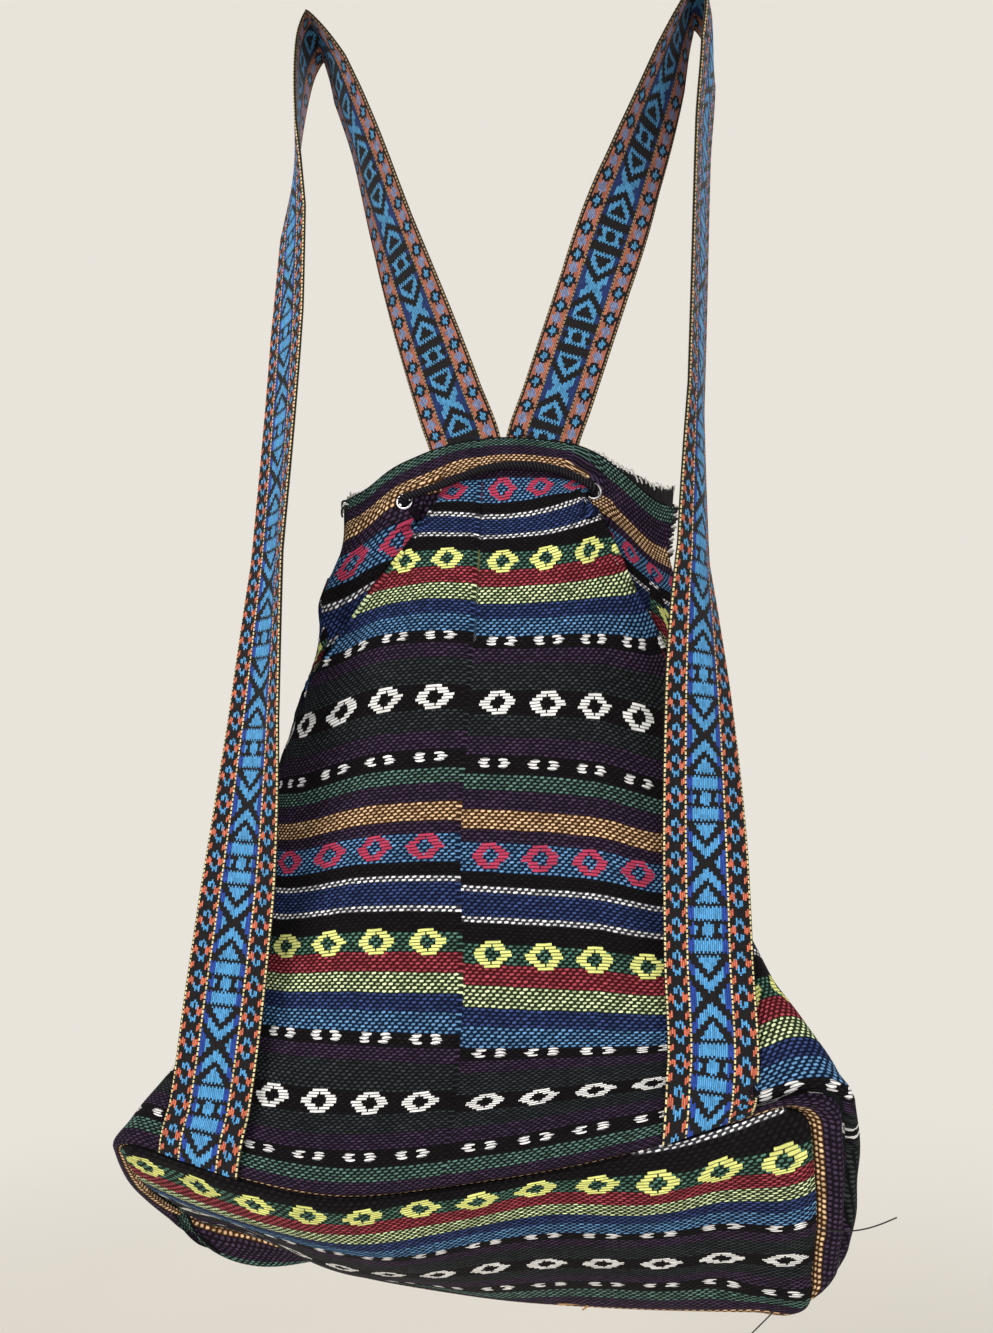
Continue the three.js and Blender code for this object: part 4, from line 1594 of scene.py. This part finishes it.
def eyelet(number, flat, material):
    """A rolled metal ring clamped through the hem."""
    profile = eyelet_profile()
    count = len(profile)
    sides = 40
    rings = []
    faces = []
    for k in range(sides):
        turn = 2 * math.pi * k / sides
        spoke = flat.across * math.cos(turn) + flat.up * math.sin(turn)
        rings += [flat.at + spoke * r + flat.out * h for r, h in profile]
        a = k * count
        b = (k + 1) % sides * count
        for j in range(count):
            n = (j + 1) % count
            faces.append([a + j, a + n, b + n, b + j])
    piece = make_piece(f"eyelet_ring_{number}", rings, faces, [material])
    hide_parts(f"eyelet_{number}")


# Loose and sewn threads.


def add_thread(store, line, radius, choice):
    """Adds a thin round thread along a line to a store of points, faces and materials."""
    sides = 5
    start = len(store["points"])
    store["points"].extend(tube(np.asarray(line), radius, sides).tolist())
    faces = capped(len(line), sides)
    store["faces"].extend([[k + start for k in face] for face in faces])
    store["choice"].extend([choice] * len(faces))


def ear_loops(store, draw):
    """Thick loops of the overlocked edge that hang over the corner of each ear."""
    t = np.linspace(0, 1, 11)
    for corner, low in ((113, 347), (-103, 367)):
        for number, v in enumerate(np.arange(low, BAG_HEIGHT + 1, 1.9)):
            u = corner + draw.uniform(-1, 1) + np.sign(corner) * lerp(-7, 7, t)
            height = np.minimum(v + 2.2 * np.sin(math.pi * t) - 2.5 * t, BAG_HEIGHT)
            sideways, upwards = ear_shift(u, height)
            line = lay(u, height, 0.6 + draw.uniform(1.0, 2.4) * np.sin(math.pi * t))
            line[:, 0] += sideways
            line[:, 2] += upwards
            add_thread(store, line, 0.6, 1 if number % 3 == 1 else 0)


def rim_at(rim_edge, u, key):
    """A point of the rim, or a direction there, by place round the bag."""
    return np.array([np.interp(u, rim_edge["around"], rim_edge[key][:, axis]) for axis in range(3)])


def rim_way(rim_edge, u):
    """A short way along the rim."""
    step = 1.5
    return rim_at(rim_edge, u + step, "top") - rim_at(rim_edge, u - step, "top")


def fringe(store, draw, rim_edge, middle, spread, reach):
    """Upright dark threads of the overlocked edge, tallest at its middle."""
    t = np.linspace(0, 1, 9)[:, None]
    sunk = 3
    for u in np.arange(middle - 2 * spread, middle + 2 * spread, 0.5):
        tall = reach * bump(u - middle, spread) * draw.uniform(0.75, 1.1) + 0.6
        top = rim_at(rim_edge, u, "top") - rim_at(rim_edge, u, "out") * draw.uniform(0.2, 0.9)
        lean = rim_way(rim_edge, u) * draw.uniform(-0.35, 0.35)
        line = top + rim_at(rim_edge, u, "rise") * ((tall + sunk) * t - sunk) + lean * t * t
        add_thread(store, line, 0.42, 0)


def edge_loops(store, draw, rim_edge, middle, spread, reach):
    """White loops along the top of the overlocked edge."""
    t = np.linspace(0, 1, 9)[:, None]
    for u in np.arange(middle - 1.5 * spread, middle + 1.5 * spread, 2.6):
        rise = rim_at(rim_edge, u, "rise")
        tall = reach * bump(u - middle, spread) + 0.8
        top = rim_at(rim_edge, u, "top") + rise * tall * draw.uniform(0.8, 1.1)
        along = rim_way(rim_edge, u) * draw.uniform(0.5, 0.9)
        bow = rise * draw.uniform(0.6, 1.6) * np.sin(math.pi * t)
        down = rise * -draw.uniform(0.8, 2.6) * t
        out = rim_at(rim_edge, u, "out") * draw.uniform(0.1, 0.7)
        add_thread(store, top + along * (t - 0.5) + bow + down + out, 0.48, 1)


def overlock(rim_edge, materials):
    """The overlocked raw edge that stands up inside the rim at each ear, with its frayed loops."""
    draw = np.random.default_rng(21)
    store = {"points": [], "faces": [], "choice": []}
    for middle, spread, reach in ((104, 34, 10.5), (-106, 22, 4.0)):
        fringe(store, draw, rim_edge, middle, spread, reach)
        edge_loops(store, draw, rim_edge, middle, spread, reach)
    ear_loops(store, draw)
    piece = make_piece("overlock_edge", store["points"], store["faces"], materials, None, store["choice"])


def loose_threads(materials):
    """A few thread ends left hanging at the base seam."""
    store = {"points": [], "faces": [], "choice": []}
    t = np.linspace(0, 1, 22)[:, None]
    tip = base_point(152.0, 118.0)
    add_thread(store, tip + t * [-20, -4, -16] + np.sin(t * 2.2) * [-3, 0, -3], 0.3, 0)
    side = base_point(158.0, 68.0) + [2.0, -11.0, 0]
    add_thread(store, side + t * [36, -2, 6] + np.sin(t * 3.1) * [0, -2, -2.5], 0.3, 0)
    loop = base_point(42.0, 122.0) + [0, -3.5, 0]
    add_thread(store, loop + np.sin(t * 3.1) * [8, -1, 2] + t * [12, 0, -2.5], 0.45, 2)
    piece = make_piece("loose_threads", store["points"], store["faces"], materials, None, store["choice"])


# Stage.

BACKDROP = "e9e4db"


def floor():
    """A pale floor under the hanging bag that turns into the backdrop further out."""
    mesh = bpy.data.meshes.new("floor")
    reach = 9.0
    below = -1.05
    corners = [(x * reach, y * reach, below) for x, y in ((-1, -1), (1, -1), (1, 1), (-1, 1))]
    mesh.from_pydata(corners, [], [(0, 1, 2, 3)])
    material, tree, shader = new_material("floor", 0.9)
    paint(shader, tree, mixed(cloudy(tree, 3.0), linear("e6e0d6"), linear("ece7de")))
    off = Num(tree, node(tree, "VectorMath", "Value", {0: own_space(tree)}, operation="LENGTH"))
    share = off.ramp(1.1, 2.0) & rays_shown(tree)
    glow = node(tree, "Emission", inputs={"Color": linear(BACKDROP)})
    both = node(tree, "MixShader", inputs={0: share, 1: shader.outputs[0], 2: glow})
    tree.links.new(both, tree.nodes["Material Output"].inputs[0])
    mesh.materials.append(material)
    piece = bpy.data.objects.new("floor", mesh)
    bpy.context.scene.collection.objects.link(piece)


def rays_shown(tree):
    """1 for what the camera sees, straight or in metal or glass, and 0 for light on the object."""
    path = tree.nodes.new("ShaderNodeLightPath")
    names = ("Is Camera Ray", "Is Glossy Ray", "Is Transmission Ray")
    one, two, three = (Num(tree, path.outputs[name]) for name in names)
    return one | two | three


def lamp(name, place, target, power, size, colour):
    """A square lamp that points at its target."""
    data = bpy.data.lights.new(name, "AREA")
    data.energy = power
    data.size = size
    data.color = colour
    holder = bpy.data.objects.new(name, data)
    holder.location = place
    holder.rotation_euler = (Vector(target) - Vector(place)).to_track_quat("-Z", "Y").to_euler()
    bpy.context.scene.collection.objects.link(holder)


def world():
    """Soft light from all round, and a pale backdrop for the camera."""
    place = bpy.data.worlds.new("world")
    bpy.context.scene.world = place
    place.use_nodes = True
    tree = place.node_tree
    light = tree.nodes["Background"]
    light.inputs["Color"].default_value = (1.0, 0.985, 0.96, 1)
    light.inputs["Strength"].default_value = 0.42
    seen = node(tree, "Background", inputs={"Color": linear(BACKDROP), "Strength": 1.0})
    both = node(tree, "MixShader", inputs={0: rays_shown(tree), 1: light.outputs[0], 2: seen})
    tree.links.new(both, tree.nodes["World Output"].inputs[0])


def lights():
    """A key lamp at the left, a fill at the right and a lamp behind."""
    target = (0, 0, -0.38)
    lamp("key", (-1.1, -1.7, 0.75), target, 34, 1.1, (1.0, 0.97, 0.93))
    lamp("fill", (0.9, -1.7, -0.7), target, 20, 1.6, (0.97, 0.98, 1.0))
    lamp("back", (0.6, 1.9, 0.8), target, 22, 1.4, (1.0, 0.98, 0.95))


bpy.context.scene.view_settings.view_transform = "Standard"
camera()
cords()
weave = weave_material()
rim_edge = bag_cloth(weave)
base_cloth(weave)
bands = [band_material("band_face", False), band_material("band_reverse", True)]
strap_band("left", -1, STRAP_FOOT_LEFT, 0.0, 3.0, 28.8, bands)
strap_band("right", 1, STRAP_FOOT_RIGHT, 5.0, 3.0, 33.3, bands)
nickel = nickel_material()
for number, flat in enumerate(flats, 1):
    eyelet(number, flat, nickel)
threads = [
    thread_material("thread_black", "0c0b0d", "242226"),
    thread_material("thread_white", "b9b7b2", "e4e2dc"),
    thread_material("thread_gold", "a87c46", "d8b078"),
]
overlock(rim_edge, threads)
loose_threads(threads)
floor()
world()
lights()

bpy.context.view_layer.update()
